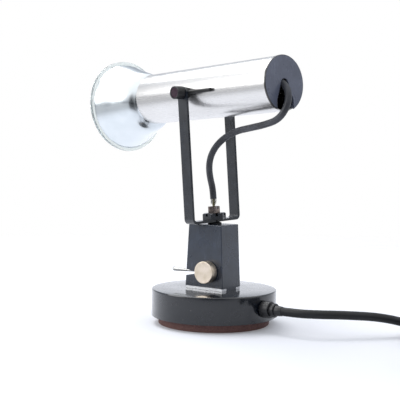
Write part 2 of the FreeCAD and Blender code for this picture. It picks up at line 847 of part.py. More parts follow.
def tilt_knob():
    """The fluted knob on the end of the pivot stud."""
    start = knob_start()
    end = start + tilt_knob_length
    knob = cylinder(tilt_knob_diameter, pivot_point(start), pivot_point(end))
    knob = fillet_where(knob, tilt_knob_flute_depth,
                        lambda p: abs(p.x - end) < 0.1 or abs(p.x - start) < 0.1)
    radius = tilt_knob_diameter / 2
    flute = tilt_knob_flute_width
    grooves = []
    for index in range(tilt_knob_flutes):
        angle = 2 * math.pi * index / tilt_knob_flutes
        away = radius + flute / 2 - tilt_knob_flute_depth
        offset = Vector(0, math.cos(angle), math.sin(angle)) * away
        low = pivot_point(start + tilt_knob_land) + offset
        grooves.append(cylinder(flute, low, pivot_point(end - tilt_knob_land) + offset))
    knob = knob.cut(grooves)
    disc_seat = cylinder(knob_disc_diameter + 2 * slip_gap,
                         pivot_point(end - knob_disc_thickness - knob_disc_recess), pivot_point(end + 1))
    stud_bore = cylinder(stud_diameter + 2 * slip_gap, pivot_point(start - 1),
                         pivot_point(start + tilt_knob_bore_depth + seat_gap))
    return knob.cut(disc_seat).cut(stud_bore)


def knob_disc():
    end = knob_start() + tilt_knob_length - knob_disc_recess
    return cylinder(knob_disc_diameter, pivot_point(end - knob_disc_thickness), pivot_point(end))


def lock_lever():
    """The screwed collar between arm and tube, with its rod along the tube."""
    start = tube_outer + seat_gap
    end = arm_inner - running_gap
    middle = (start + end) / 2
    collar = cylinder(spacer_diameter, pivot_point(start), pivot_point(end))
    rod = cylinder(lever_rod_diameter, pivot_point(middle), head_point(lever_rod_reach, middle))
    rod_end = head_point(lever_rod_reach).y
    rod = fillet_where(rod, lever_rod_round, lambda p: p.y > rod_end - 0.1)
    bore = cylinder(stud_diameter + 2 * slip_gap, pivot_point(start - 1), pivot_point(end + 1))
    return collar.fuse(rod).cut(bore)


def far_spacer():
    hole = stud_diameter + 2 * slip_gap
    start = pivot_point(-tube_outer - seat_gap)
    return ring(spacer_diameter, hole, start, pivot_point(-arm_inner + running_gap))


def far_screw():
    """The slotted pivot screw of the far arm, with its washer face."""
    seat = -arm_outer - running_gap
    head_end = seat - far_head_height
    head = cylinder(far_head_diameter, pivot_point(head_end), pivot_point(seat))
    head = fillet_where(head, far_head_round, lambda p: abs(p.x - head_end) < 0.1)
    shank = cylinder(stud_diameter, pivot_point(seat), pivot_point(-bracket_inner + stud_nut_height))
    half = far_head_slot / 2
    slot = block(head_end - 1, head_end + far_head_slot_depth, pivot_y - far_head_diameter,
                 pivot_y + far_head_diameter, pivot_height - half, pivot_height + half)
    return head.fuse(shank).cut(slot)


def holder_bracket():
    """A strip bent into a U behind the lampholder; the pivot screws hold its legs."""
    half = bracket_strip / 2
    front = holder_rear
    rear = holder_rear + bracket_thickness + bracket_leg
    outer = block(-bracket_outer, bracket_outer, front, rear, -half, half)
    outer = fillet_where(outer, bracket_thickness,
                         lambda p: abs(p.y - front) < 0.1 and abs(abs(p.x) - bracket_outer) < 0.1)
    inner = block(-bracket_inner, bracket_inner, front + bracket_thickness, rear + 1, -half - 1, half + 1)
    strip = outer.cut(inner)
    through = Y_AXIS * (front + bracket_thickness + 1)
    hole = cylinder(nipple_diameter + 2 * slip_gap, Y_AXIS * (front - 1), through)
    strip = strip.cut(hole).transformed(DROOP.toMatrix(), True)
    stud_hole = stud_diameter + 2 * slip_gap
    return strip.cut(cylinder(stud_hole, pivot_point(-tube_outer), pivot_point(tube_outer)))


def lampholder():
    """The porcelain screw lampholder, in the lamp frame."""
    bore = holder_bore / 2
    outer = holder_diameter / 2
    nipple = nipple_diameter / 2
    bore_end = -cap_contact + seat_gap
    return revolve_y([
        (-holder_front, bore), (-holder_front, outer - holder_edge), (-holder_front + holder_edge, outer),
        (holder_rear - holder_back_length, outer), (holder_rear, holder_back_diameter / 2),
        (holder_rear, nipple), (holder_rear - nipple_front, nipple), (holder_rear - nipple_front, 0),
        (bore_end, 0), (bore_end, bore)])


def holder_nipple():
    return ring(nipple_diameter, nipple_bore, Y_AXIS * (holder_rear - nipple_front),
                Y_AXIS * (holder_rear + nipple_rear))


# Reflector lamp, in the lamp frame; stations run forward, so they are -Y

def revolve_lamp(outline):
    return revolve_y([(-station, radius) for station, radius in outline])


def bulb_cap():
    """The screw cap with its centre contact."""
    thread = cap_thread_diameter / 2
    return revolve_lamp([
        (cap_contact, 0), (cap_contact, contact_radius), (cap_rear, cap_end_radius), (cap_rear, thread),
        (cap_front, thread), (cap_front, 0)])


def bulb_glass():
    """The pressed reflector: neck, shoulder and bowl, open at the front."""
    wall = glass_wall
    edge_inner = bowl_front_radius - wall
    rim_middle = (rim_rear + rim_front) / 2
    return revolve_lamp([
        (cap_front, 0), (cap_front, cap_thread_diameter / 2), (cap_front + 2, neck_radius),
        (neck_mid, neck_mid_radius), (mouth_station, mouth_radius), (shoulder_station, shoulder_radius),
        (bowl_station, bowl_radius), (rim_rear, bowl_front_radius), (rim_rear + rim_chamfer, rim_radius),
        (rim_middle, rim_radius), (rim_middle, edge_inner), (rim_rear, edge_inner),
        (bowl_station, bowl_radius - wall), (shoulder_station, shoulder_radius - wall),
        (mouth_station, mouth_radius - wall), (neck_mid, neck_mid_radius - wall),
        (cap_front + wall, neck_radius - wall), (cap_front + wall, 0)])


def dome_point(edge, station):
    """A point half way out on the lens's dome over an edge of this radius."""
    dome_radius = (edge ** 2 + lens_bulge ** 2) / (2 * lens_bulge)
    sag = dome_radius - math.sqrt(dome_radius ** 2 - (edge / 2) ** 2)
    return Vector(edge / 2, station + lens_bulge - sag, 0)


def bulb_lens():
    """The front glass: a shallow dome with a thick rim on the bowl's edge."""
    rim_middle = (rim_rear + rim_front) / 2
    inner = bowl_front_radius - 2 * glass_wall
    outer = inner + glass_wall
    under = rim_front - glass_wall
    outline = [
        (inner, under), (inner, rim_middle), (rim_radius, rim_middle),
        (rim_radius, rim_front - rim_chamfer), (rim_radius - rim_chamfer, rim_front), (outer, rim_front)]
    points = [Vector(radius, station, 0) for radius, station in outline]
    crown = Vector(0, rim_front + lens_bulge, 0)
    crown_under = Vector(0, under + lens_bulge, 0)
    edges = [Part.LineSegment(first, second).toShape() for first, second in zip(points, points[1:])]
    edges.append(Part.Arc(points[-1], dome_point(outer, rim_front), crown).toShape())
    edges.append(Part.LineSegment(crown, crown_under).toShape())
    edges.append(Part.Arc(crown_under, dome_point(inner, under), points[0]).toShape())
    dome = Part.Face(Part.Wire(edges)).revolve(Vector(0, 0, 0), Y_AXIS, 360)
    dome.rotate(Vector(0, 0, 0), Z_AXIS, 180)
    return dome


# Cords: straight runs joined by tangent arcs

def route_wire(points, name):
    """The path through a route's points, and its length."""
    edges = []
    cursor = points[0]
    length = 0
    radii = []
    for before, corner, after in zip(points, points[1:], points[2:]):
        run_in = (corner - before).Length
        run_out = (after - corner).Length
        into = (corner - before).normalize()
        away = (after - corner).normalize()
        trim = 0.45 * min(run_in, run_out)
        half_turn = into.getAngle(away) / 2
        radius = trim / math.tan(half_turn)
        radii.append(round(radius, 1))
        start = corner - into * trim
        end = corner + away * trim
        inward = (away - into).normalize()
        middle = corner + inward * (radius / math.cos(half_turn) - radius)
        edges.append(Part.LineSegment(cursor, start).toShape())
        edges.append(Part.Arc(start, middle, end).toShape())
        length += (start - cursor).Length + 2 * half_turn * radius
        cursor = end
    edges.append(Part.LineSegment(cursor, points[-1]).toShape())
    length += (points[-1] - cursor).Length
    print(name, "length", round(length, 1), "radii", radii)
    return Part.Wire(edges), length


def cord_tube(points, diameter, name):
    """A round cord along a route."""
    wire, length = route_wire(points, name)
    start = (points[1] - points[0]).normalize()
    section = Part.Wire(Part.makeCircle(diameter / 2, points[0], start))
    tube = wire.makePipeShell([section], True, True)
    expected = math.pi * diameter ** 2 / 4 * length
    print(name, "volume over expected", round(tube.Volume / expected, 4), tube.isValid())
    return tube


# Route of the flex in the upper frame, from the lampholder down to the stem.
# At the head: x, y and the height over the tube's axis as a share of the tube's radius
flex_head_route = [
    (-0.5, 24, 0.12), (-1, 47, 0.183), (-1.2, 71, 0.261), (-0.5, 94, 0.261), (-0.1, 115.6, 0.161),
    (3.5, 133.2, -0.189), (9.0, 137.0, -0.791), (12.6, 125.0, -1.291), (9.3, 99.3, -1.427),
    (6.0, 76, -1.487)]
# Below that: x, y and the share of the height left down to the cut sheath
flex_stem_route = [
    (3.2, 48, 0.971), (1.6, 27, 0.892), (0.5, 10, 0.778), (-0.3, -1.6, 0.627), (-0.5, -5.6, 0.464),
    (-0.4, -4.0, 0.295), (0, 0, 0.145)]


def flex():
    points = [DROOP.multVec(Y_AXIS * (holder_rear + nipple_rear))]
    points += [Vector(x, y, pivot_height + share * tube_outer) for x, y, share in flex_head_route]
    drop = points[-1].z - sheath_end
    points += [Vector(x, y, sheath_end + share * drop) for x, y, share in flex_stem_route]
    points.append(Z_AXIS * sheath_end)
    return cord_tube(points, flex_diameter, "flex")


def flex_cores():
    """The bare cores from the cut sheath down into the stem."""
    return cylinder(core_diameter, Z_AXIS * cores_low, Z_AXIS * sheath_end)


# Mains lead

def gland_point(out):
    """A point on the gland's axis, this far out from the drum's side."""
    return Vector(gland_x, drum_radius + running_gap + out, gland_z)


def gland_length():
    return gland_body_length + gland_groove_length + gland_ring_length + gland_sleeve_length


def gland_nut_face():
    """Y of the nut's outer face, clear of the drum's curved inside."""
    edge = gland_x + gland_nut_flats / 2
    return math.sqrt((drum_radius - drum_wall) ** 2 - edge ** 2) - running_gap


def cable_gland():
    """Flanged gland: body, groove, ring and a short tapered sleeve."""
    bore = mains_diameter / 2 + slip_gap
    thread = gland_thread_diameter / 2
    body = gland_body_diameter / 2
    rim = gland_ring_diameter / 2
    edge = gland_chamfer
    inner_end = gland_nut_face() - gland_nut_height - gland_point(0).y
    body_end = gland_body_length
    groove_end = body_end + gland_groove_length
    ring_end = groove_end + gland_ring_length
    return revolve_y([
        (inner_end, bore), (inner_end, thread), (0, thread), (0, body), (body_end - edge, body),
        (body_end, body - edge), (body_end, gland_groove_diameter / 2),
        (groove_end, gland_groove_diameter / 2), (groove_end, rim), (ring_end - edge, rim),
        (ring_end, rim - edge), (ring_end, gland_sleeve_diameter / 2),
        (gland_length(), bore + gland_lip), (gland_length(), bore)]).translated(gland_point(0))


def gland_nut():
    face = Vector(gland_x, gland_nut_face(), gland_z)
    nut = hexagon(flats(gland_nut_flats), face - Y_AXIS * gland_nut_height, face)
    through = Y_AXIS * gland_nut_height * 2
    return nut.cut(cylinder(gland_thread_diameter + 2 * slip_gap, face - through, face + through))


# Route of the mains lead from the gland out to the coil
mains_route = [
    (6.5, 124, 26.4), (-1.4, 144.6, 26.6), (-17, 162.5, 26.2), (-34, 179, 25.0),
    (-52, 196, 23.0), (-70, 211, 18.6), (-97, 228, 9.4)]


def lead_height():
    """Height of the lead's centre where it lies in the coil's lowest turns."""
    return coil_lift + mains_diameter / 2


def coil_point(angle, radius, height):
    turn = math.radians(angle)
    return Vector(coil_x + radius * math.cos(turn), coil_y + radius * math.sin(turn), height)


def coil_outer():
    return coil_middle_radius + coil_width / 2


def mains_cable():
    outer_turn = coil_outer() - mains_diameter / 2
    points = [Vector(gland_x, gland_nut_face() - gland_nut_height - lead_inside, gland_z)]
    points += [Vector(*spot) for spot in mains_route]
    points.append(coil_point(entry_angle, outer_turn, lead_height()))
    return cord_tube(points, mains_diameter, "mains lead")


def cable_coil():
    """The put-away length of the lead as one ring of its outer shape."""
    inner = coil_middle_radius - coil_width / 2
    top = coil_lift + coil_layers * mains_diameter
    rounding = mains_diameter * 0.45
    centre = Vector(coil_x, coil_y, 0)
    body = ring(2 * coil_outer(), 2 * inner, centre + Z_AXIS * coil_lift, centre + Z_AXIS * top)
    return body.makeFillet(rounding, [edge for edge in body.Edges if len(edge.Vertexes) == 1])


def coil_tie():
    """A strap round the coil's section."""
    wall = tie_thickness
    half = coil_width / 2 + tie_slack
    top = coil_lift + coil_layers * mains_diameter + seat_gap
    low = wall
    outer = block(-half - wall, half + wall, -tie_width / 2, tie_width / 2, low - wall, top + wall)
    inner = block(-half, half, -tie_width, tie_width, low, top)
    strap = outer.cut(inner)
    place = Placement(coil_point(tie_angle, coil_middle_radius, 0), Rotation(Z_AXIS, tie_angle))
    return strap.transformed(place.toMatrix(), True)


def tail_points():
    """The last stretch of the lead, from the coil's upper turn to the plug."""
    outer_turn = coil_outer() - mains_diameter / 2
    start = coil_point(exit_angle, outer_turn, lead_height() + mains_diameter)
    turn = math.radians(exit_angle)
    heading = Vector(math.sin(turn), -math.cos(turn), 0)
    inward = Vector(heading.y, -heading.x, 0)
    rise = Z_AXIS * (plug_diameter / 2 - start.z)
    return [
        start, start + heading * tail_first + rise * tail_first_rise,
        start + heading * tail_second + inward * tail_first_bend + rise,
        start + heading * tail_end + inward * tail_bend + rise]


def tail_cable():
    return cord_tube(tail_points(), mains_diameter, "lead tail")


def plug_frame():
    points = tail_points()
    return Placement(points[-1], Rotation(Y_AXIS, points[-1] - points[-2]))


def mains_plug():
    """A round moulded plug with a bend relief, along +Y from the lead's end."""
    neck = plug_neck_length
    body_end = neck + plug_body_length
    flange = body_end - plug_flange
    radius = plug_diameter / 2
    return revolve_y([
        (0, 0), (0, plug_neck_start / 2), (neck, plug_neck_end / 2), (neck + 6, plug_waist_start / 2),
        (flange - 4, plug_waist_end / 2), (flange, radius), (body_end - 1, radius),
        (body_end, radius - 1), (body_end, 0)])


def plug_pins():
    pins = []
    start = plug_neck_length + plug_body_length
    for side in (-1, 1):
        spot = Vector(side * pin_spacing / 2, start, 0)
        pin = cylinder(pin_diameter, spot, spot + Y_AXIS * pin_length)
        pins.append(fillet_where(pin, pin_round, lambda p: p.y > start + pin_length - 0.1))
    return Part.makeCompound(pins)


os.makedirs("parts", exist_ok=True)

save("foot_disc", foot_disc())
save("base_plate", base_plate())
save("drum_shell", drum_shell())
save("ballast", ballast())
save("foot_screws", foot_screws())
save("housing", housing())
save("column_plate", column_plate())
save("column_screws", column_screws())
save("switch_body", switch_body())
save("switch_pin", switch_pin())
save("switch_lever", switch_lever())
save("dimmer_body", dimmer_body())
save("dimmer_nut", dimmer_nut())
save("dimmer_shaft", dimmer_shaft())
save("dimmer_knob", dimmer_knob())
save("terminal_block", terminal_block())
save("seat_washer", seat_washer())
save("stem_tube", stem_tube(), UPPER)
save("stem_washer", stem_washer(), UPPER)
save("stem_nut", stem_nut(), UPPER)
save("yoke_strip", yoke_strip(), UPPER)
save("castle_nut", castle_nut(), UPPER)
save("cord_grip", cord_grip(), UPPER)
save("grub_screw", grub_screw(), UPPER)
save("bar_peg", bar_peg(), UPPER)
save("lamp_tube", lamp_tube(), UPPER)
save("rear_cap", rear_cap(), UPPER)
save("pivot_stud", pivot_stud(), UPPER)
save("stud_nuts", stud_nuts(), UPPER)
save("pivot_washer", pivot_washer(), UPPER)
save("tilt_knob", tilt_knob(), UPPER)
save("knob_disc", knob_disc(), UPPER)
save("lock_lever", lock_lever(), UPPER)
save("far_spacer", far_spacer(), UPPER)
save("far_screw", far_screw(), UPPER)
save("holder_bracket", holder_bracket(), UPPER)
save("lampholder", lampholder(), UPPER.multiply(DROOP))
save("holder_nipple", holder_nipple(), UPPER.multiply(DROOP))
save("bulb_cap", bulb_cap(), UPPER.multiply(DROOP))
save("bulb_glass", bulb_glass(), UPPER.multiply(DROOP))
save("bulb_lens", bulb_lens(), UPPER.multiply(DROOP))
save("flex", flex(), UPPER)
save("flex_cores", flex_cores(), UPPER)
save("cable_gland", cable_gland())
save("gland_nut", gland_nut())
save("mains_cable", mains_cable())
save("cable_coil", cable_coil())
save("coil_tie", coil_tie())
save("tail_cable", tail_cable())
save("mains_plug", mains_plug(), plug_frame())
save("plug_pins", plug_pins(), plug_frame())
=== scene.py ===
"""Tabletop searchlight lamp: the dressed model, its camera, light and floor.

Sizes are written in millimetres, as on a drawing, and turned to metres when a piece is placed.
"""
import bpy
import json
from math import cos, radians, sin, sqrt
from mathutils import Matrix, Vector

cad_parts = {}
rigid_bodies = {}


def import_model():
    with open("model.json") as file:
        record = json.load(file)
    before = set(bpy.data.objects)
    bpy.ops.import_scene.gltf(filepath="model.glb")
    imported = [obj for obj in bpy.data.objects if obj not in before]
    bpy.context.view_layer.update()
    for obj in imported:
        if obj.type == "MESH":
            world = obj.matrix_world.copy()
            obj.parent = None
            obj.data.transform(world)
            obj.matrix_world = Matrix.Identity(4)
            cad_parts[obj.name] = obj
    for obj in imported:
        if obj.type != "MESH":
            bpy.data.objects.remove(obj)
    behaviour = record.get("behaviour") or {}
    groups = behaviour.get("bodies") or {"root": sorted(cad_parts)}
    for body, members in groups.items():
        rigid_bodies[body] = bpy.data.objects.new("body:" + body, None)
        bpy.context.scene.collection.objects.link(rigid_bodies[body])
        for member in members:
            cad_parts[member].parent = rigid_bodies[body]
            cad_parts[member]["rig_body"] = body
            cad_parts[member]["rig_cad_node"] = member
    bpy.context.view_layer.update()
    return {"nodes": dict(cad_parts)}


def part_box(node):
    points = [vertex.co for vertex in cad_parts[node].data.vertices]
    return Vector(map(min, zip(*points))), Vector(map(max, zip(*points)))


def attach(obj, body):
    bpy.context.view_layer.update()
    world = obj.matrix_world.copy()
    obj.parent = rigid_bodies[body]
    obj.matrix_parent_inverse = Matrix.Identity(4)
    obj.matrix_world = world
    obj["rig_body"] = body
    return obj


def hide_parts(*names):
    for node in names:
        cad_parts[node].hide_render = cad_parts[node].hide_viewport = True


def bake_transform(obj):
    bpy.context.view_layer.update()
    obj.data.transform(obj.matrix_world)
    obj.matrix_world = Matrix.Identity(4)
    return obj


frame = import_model()

MM = 0.001

# Sizes and places shared with the solids
FOOT_RADIUS = 68.4
FOOT_TOP = 9.9
SCREW_CIRCLE = 50.0
DRUM_RADIUS = 77.0
DRUM_TOP = 42.8
DRUM_WALL = 1.8
COLUMN_TOP = 122.4
KNOB_RADIUS = 13.5
KNOB_Y = 5.7
KNOB_Z = 65.4
LEVER_LENGTH = 51.0
STEM_X = -0.2
STEM_Y = -0.6
SWIVEL = -9.4           # degrees, as all angles here
LEAN_SIDE = 2.5
LEAN_FRONT = 3.0
SHEATH_END = 31.0       # above the column top, along the stem
PIVOT_Y = -3.0
PIVOT_Z = 161.2
TUBE_RADIUS = 31.75
TUBE_WALL = 1.4
TUBE_FRONT = -96.3
TUBE_REAR = 126.0
DROOP_CENTRE = 40.0     # ahead of the pivot
DROOP = 2.6
GLASS_WALL = 2.4
BOWL_MOUTH = 53.9
LENS_BULGE = 5.4
LEAD = 10.2
FLEX = 8.0
GLAND_Y = 77.15         # back of the gland's flange
COIL = Vector((-78.0, 304.0, 0.0))
COIL_ENTRY = 227.0
COIL_EXIT = 75.0
COIL_OUTER = 68.41      # to the middle of the outer turn
COIL_STEP = 10.7        # between turns
COIL_LOW = 6.1
COIL_RISE = 10.4        # between layers


def turn(angle, axis):
    """A turn by degrees round an axis."""
    return Matrix.Rotation(radians(angle), 4, axis)


# The upper frame stands on the column top and leans with the yoke. The head frame lies on it at
# the pivot, with +Y to the rear, and the lamp frame droops a little with the reflector lamp.
UPPER = (Matrix.Translation((STEM_X, STEM_Y, COLUMN_TOP))
         @ turn(SWIVEL, "Z") @ turn(LEAN_SIDE, "Y") @ turn(LEAN_FRONT, "X"))
HEAD = UPPER @ Matrix.Translation((0, PIVOT_Y, PIVOT_Z))
LAMP = UPPER @ Matrix.Translation((0, PIVOT_Y - DROOP_CENTRE, PIVOT_Z)) @ turn(DROOP, "X")
UPRIGHT = Matrix.Identity(4)
# Turned pieces are made along +Z; these lay that axis along +Y, -Y and +X.
ALONG_Y = turn(-90, "X")
AGAINST_Y = turn(90, "X")
ALONG_X = turn(90, "Y")


# Camera, fitted to the photograph by the drum, column, yoke, tube and rim

CAMERA_SIDE = 126.126       # degrees round the foot, from the front
CAMERA_FAR = 1150.9
CAMERA_HEIGHT = 215.04
CAMERA_PAST = 0.942         # degrees that it looks past the foot's axis
CAMERA_DIP = 3.156
CAMERA_ROLL = 0.791
FOCAL_LENGTH = 936.82       # in pixels of the photograph
PHOTO_WIDTH = 400
SENSOR_WIDTH = 36.0


def set_camera():
    side, dip, roll = radians(CAMERA_SIDE), radians(CAMERA_DIP), radians(CAMERA_ROLL)
    heading = radians(CAMERA_SIDE + CAMERA_PAST)
    place = Vector((sin(side) * CAMERA_FAR, -cos(side) * CAMERA_FAR, CAMERA_HEIGHT))
    ahead = Vector((-sin(heading) * cos(dip), cos(heading) * cos(dip), -sin(dip)))
    level = Vector((cos(heading), sin(heading), 0))
    upward = level.cross(ahead)
    right = level * cos(roll) + upward * sin(roll)
    top = upward * cos(roll) - level * sin(roll)
    axes = Matrix((right, top, -ahead)).transposed().to_4x4()
    bpy.ops.object.camera_add()
    camera = bpy.context.object
    camera.matrix_world = Matrix.Translation(place * MM) @ axes
    camera.data.sensor_width = SENSOR_WIDTH
    camera.data.lens = FOCAL_LENGTH * SENSOR_WIDTH / PHOTO_WIDTH
    camera.data.clip_end = 50
    bpy.context.scene.camera = camera


set_camera()


# Materials

SHARE, FIRST, SECOND, MIXED = 0, 6, 7, 2    # a Mix node's sockets when it mixes colours


def linear(code):
    """sRGB hex to a linear colour."""
    values = [int(code[i:i + 2], 16) / 255 for i in (1, 3, 5)]
    return [v / 12.92 if v <= 0.04045 else ((v + 0.055) / 1.055) ** 2.4 for v in values] + [1.0]


def connect(owner, node, inputs):
    """Sets or links the inputs of a node."""
    for name, value in inputs.items():
        if isinstance(value, bpy.types.NodeSocket):
            owner.node_tree.links.new(value, node.inputs[name])
        else:
            node.inputs[name].default_value = value


def add(owner, kind, settings, inputs):
    """Adds a node to a material or the world, with its settings and inputs."""
    node = owner.node_tree.nodes.new(kind)
    for name, value in settings.items():
        setattr(node, name, value)
    connect(owner, node, inputs)
    return node


def start(name, constants):
    """A new material, its shader with these constants, and the object's own coordinates."""
    material = bpy.data.materials.new(name)
    material.use_nodes = True
    shader = material.node_tree.nodes["Principled BSDF"]
    connect(material, shader, constants)
    place = add(material, "ShaderNodeTexCoord", {}, {}).outputs["Object"]
    return material, shader, place


def mottle(material, place, size, detail, low=0, high=1, stretch=(1, 1, 1)):
    """A number that wanders from low to high over a pattern of this size in millimetres."""
    spread = add(material, "ShaderNodeMapping", {}, {"Vector": place, "Scale": stretch})
    noise = add(material, "ShaderNodeTexNoise", {}, {
        "Vector": spread.outputs["Vector"], "Scale": 1000.0 / size, "Detail": detail})
    # Noise seldom leaves this middle third of its range.
    span = add(material, "ShaderNodeMapRange", {}, {
        "Value": noise.outputs["Fac"], "From Min": 0.32, "From Max": 0.68,
        "To Min": low, "To Max": high})
    return span.outputs["Result"]


def dress(material, shader, tone=None, rough=None, grain=None):
    """Gives a shader the patterns that its colour, roughness and relief follow.

    tone is a pattern with the two colours that it runs between, rough is a roughness, and
    grain is a height with its depth in millimetres.
    """
    if tone is not None:
        share, first, second = tone
        colour = add(material, "ShaderNodeMix", {"data_type": "RGBA"}, {
            SHARE: share, FIRST: linear(first), SECOND: linear(second)})
        connect(material, shader, {"Base Color": colour.outputs[MIXED]})
    if rough is not None:
        connect(material, shader, {"Roughness": rough})
    if grain is not None:
        height, depth = grain
        bump = add(material, "ShaderNodeBump", {}, {
            "Height": height, "Distance": depth * MM, "Strength": 1.0})
        connect(material, shader, {"Normal": bump.outputs["Normal"]})


def black_lacquer():
    """Spun steel under gloss black stove lacquer: deep, with slight orange peel of about 3 mm,
    a faint bloom from handling and a few pale specks of dust, some 5 mm apart."""
    material, shader, place = start("gloss_black_lacquer", {
        "Specular IOR Level": 0.25, "Coat Weight": 1.0, "Coat IOR": 1.45, "Coat Roughness": 0.08})
    specks = add(material, "ShaderNodeTexVoronoi", {}, {
        "Vector": place, "Scale": 190.0, "Randomness": 1.0})
    dust = add(material, "ShaderNodeMapRange", {}, {
        "Value": specks.outputs["Distance"], "From Min": 0.06, "From Max": 0.11,
        "To Min": 0.55, "To Max": 0.0})
    patch = mottle(material, place, size=34, detail=2, low=-0.5, high=0.8)
    few = add(material, "ShaderNodeMath", {"operation": "MULTIPLY", "use_clamp": True}, {
        0: dust.outputs["Result"], 1: patch})
    dress(material, shader, tone=(few.outputs["Value"], "#0b1018", "#8a857c"),
          rough=mottle(material, place, size=26, detail=5, low=0.24, high=0.36),
          grain=(mottle(material, place, size=3, detail=1), 0.004))
    return material


def satin_enamel(name, colour, worn):
    """Pressed steel under stove enamel, half gloss: dark and cool, with a fine grain of about
    0.8 mm, a faint cloudiness and a few thin pale rub marks that run up and down."""
    material, shader, place = start(name, {"Coat Weight": 0.4, "Coat Roughness": 0.12})
    cloud = mottle(material, place, size=18, detail=3, high=0.2)
    rubs = mottle(material, place, size=1.2, detail=2, low=-3.4, high=0.5, stretch=(1, 1, 0.08))
    both = add(material, "ShaderNodeMath", {"operation": "MAXIMUM"}, {0: rubs, 1: cloud})
    dress(material, shader, tone=(both.outputs["Value"], colour, worn),
          rough=mottle(material, place, size=14, detail=4, low=0.24, high=0.36),
          grain=(mottle(material, place, size=0.8, detail=2), 0.002))
    return material


def satin_aluminium():
    """Drawn aluminium tube, polished with a mop along its length and lacquered: bright, with
    hairlines that run along the tube, drawn 0.8 mm apart so that they show, and soft clouds."""
    material, shader, place = start("satin_aluminium_drawn", {"Metallic": 1.0})
    along = add(material, "ShaderNodeMapping", {"vector_type": "POINT"}, {
        "Vector": place,
        "Rotation": (radians(-LEAN_FRONT), radians(-LEAN_SIDE), radians(-SWIVEL))})
    own = along.outputs["Vector"]
    hair = mottle(material, own, size=0.8, detail=3, stretch=(1, 0.02, 1))
    cloud = mottle(material, own, size=30, detail=3, stretch=(1, 0.5, 1))
    rough = add(material, "ShaderNodeMapRange", {}, {
        "Value": hair, "To Min": 0.25, "To Max": 0.28})
    dress(material, shader, tone=(cloud, "#d6d5d4", "#d1d0cf"), rough=rough.outputs["Result"],
          grain=(hair, 0.0005))
    return material


def bright_plate():
    """Cut aluminium sheet with its own thin white oxide, so only partly metallic to the eye: a
    pale edge with soft scratches about 0.5 mm apart."""
    material, shader, place = start("bright_aluminium_sheet", {
        "Base Color": linear("#f4f5f7"), "Metallic": 0.3})
    dress(material, shader, rough=mottle(
        material, place, size=0.5, detail=2, low=0.26, high=0.34, stretch=(0.1, 0.1, 1)))
    return material


def nickel():
    """Turned brass, nickel plated and a little yellowed: turning lines round the knob's axis,
    drawn 1 mm apart so that they show, and clouds of darker tarnish."""
    material, shader, place = start("turned_nickel_plate", {"Metallic": 1.0})
    centred = add(material, "ShaderNodeMapping", {}, {
        "Vector": place, "Location": (0, -KNOB_Y * MM, -KNOB_Z * MM)})
    rings = add(material, "ShaderNodeTexWave", {
        "wave_type": "RINGS", "rings_direction": "X", "wave_profile": "SAW"}, {
        "Vector": centred.outputs["Vector"], "Scale": 330.0, "Distortion": 0.4, "Detail": 1.0})
    dress(material, shader,
          tone=(mottle(material, place, size=9, detail=4), "#e0d4c6", "#cdc0ac"),
          rough=mottle(material, place, size=4, detail=3, low=0.36, high=0.46),
          grain=(rings.outputs["Fac"], 0.0012))
    return material


def dull_metal(name, colour, roughness):
    """Zinc-plated or bright-plated steel, and cast iron: grey and dulled, with faint blotches
    of about 2 mm in its shine."""
    material, shader, place = start(name, {"Base Color": linear(colour), "Metallic": 1.0})
    dress(material, shader, rough=mottle(
        material, place, size=2, detail=3, low=roughness - 0.08, high=roughness + 0.12))
    return material


def worn_brass(name, dull, bright):
    """Nickelled brass, rubbed bright in patches of about 5 mm and dull between."""
    material, shader, place = start(name, {"Metallic": 1.0})
    rubbed = add(material, "ShaderNodeClamp", {}, {
        "Value": mottle(material, place, size=5, detail=4, low=-0.4, high=0.9)})
    dress(material, shader, tone=(rubbed.outputs["Result"], dull, bright),
          rough=mottle(material, place, size=3, detail=3, low=0.3, high=0.5))
    return material


def fibre_board():
    """Pressed fibre board, brown red and matte: rough, with flat fibres about 1.6 mm long."""
    material, shader, place = start("pressed_fibre_board", {"Roughness": 0.85})
    fibre = mottle(material, place, size=1.6, detail=5, stretch=(1, 1, 2.2))
    dress(material, shader, tone=(fibre, "#4c322f", "#72524c"), grain=(fibre, 0.08))
    return material


def moulded(name, colour, roughness, grain):
    """Moulded phenolic or ABS, and lacquer or blackening as even as they are: dense and smooth,
    with a fine grain of this size in millimetres."""
    material, shader, place = start(name, {"Base Color": linear(colour)})
    dress(material, shader,
          rough=mottle(material, place, size=11, detail=4,
                       low=roughness - 0.07, high=roughness + 0.08),
          grain=(mottle(material, place, size=grain, detail=2), 0.015))
    return material


def sheath_rubber(name, colour, pale, roughness):
    """Extruded rubber sheath: dark, softly shining, with a dusty bloom in patches of about
    22 mm and a fine grain of about 1 mm."""
    material, shader, place = start(name, {"Specular IOR Level": 0.35})
    dress(material, shader,
          tone=(mottle(material, place, size=22, detail=5), colour, pale),
          rough=mottle(material, place, size=9, detail=3,
                       low=roughness - 0.08, high=roughness + 0.1),
          grain=(mottle(material, place, size=1, detail=3), 0.03))
    return material


def core_rubber():
    """Rubbered cotton round the cores: olive tan, fibrous at about 0.6 mm."""
    material, shader, place = start("rubbered_cotton_core", {"Roughness": 0.8})
    thread = mottle(material, place, size=0.6, detail=3)
    dress(material, shader, tone=(thread, "#5a563f", "#8c8663"), grain=(thread, 0.05))
    return material


def silvered_glass():
    """Pressed glass, silvered on the inside and seen from behind: bright, cold and a little
    soft under a smooth skin, with flow waves about 12 mm long from the mould."""
    material, shader, place = start("silvered_pressed_glass", {
        "Metallic": 1.0, "Coat Weight": 1.0, "Coat Roughness": 0.03})
    wave = mottle(material, place, size=12, detail=3)
    dress(material, shader, tone=(wave, "#d6dce0", "#cfd6da"),
          rough=mottle(material, place, size=20, detail=4, low=0.2, high=0.26),
          grain=(wave, 0.008))
    return material


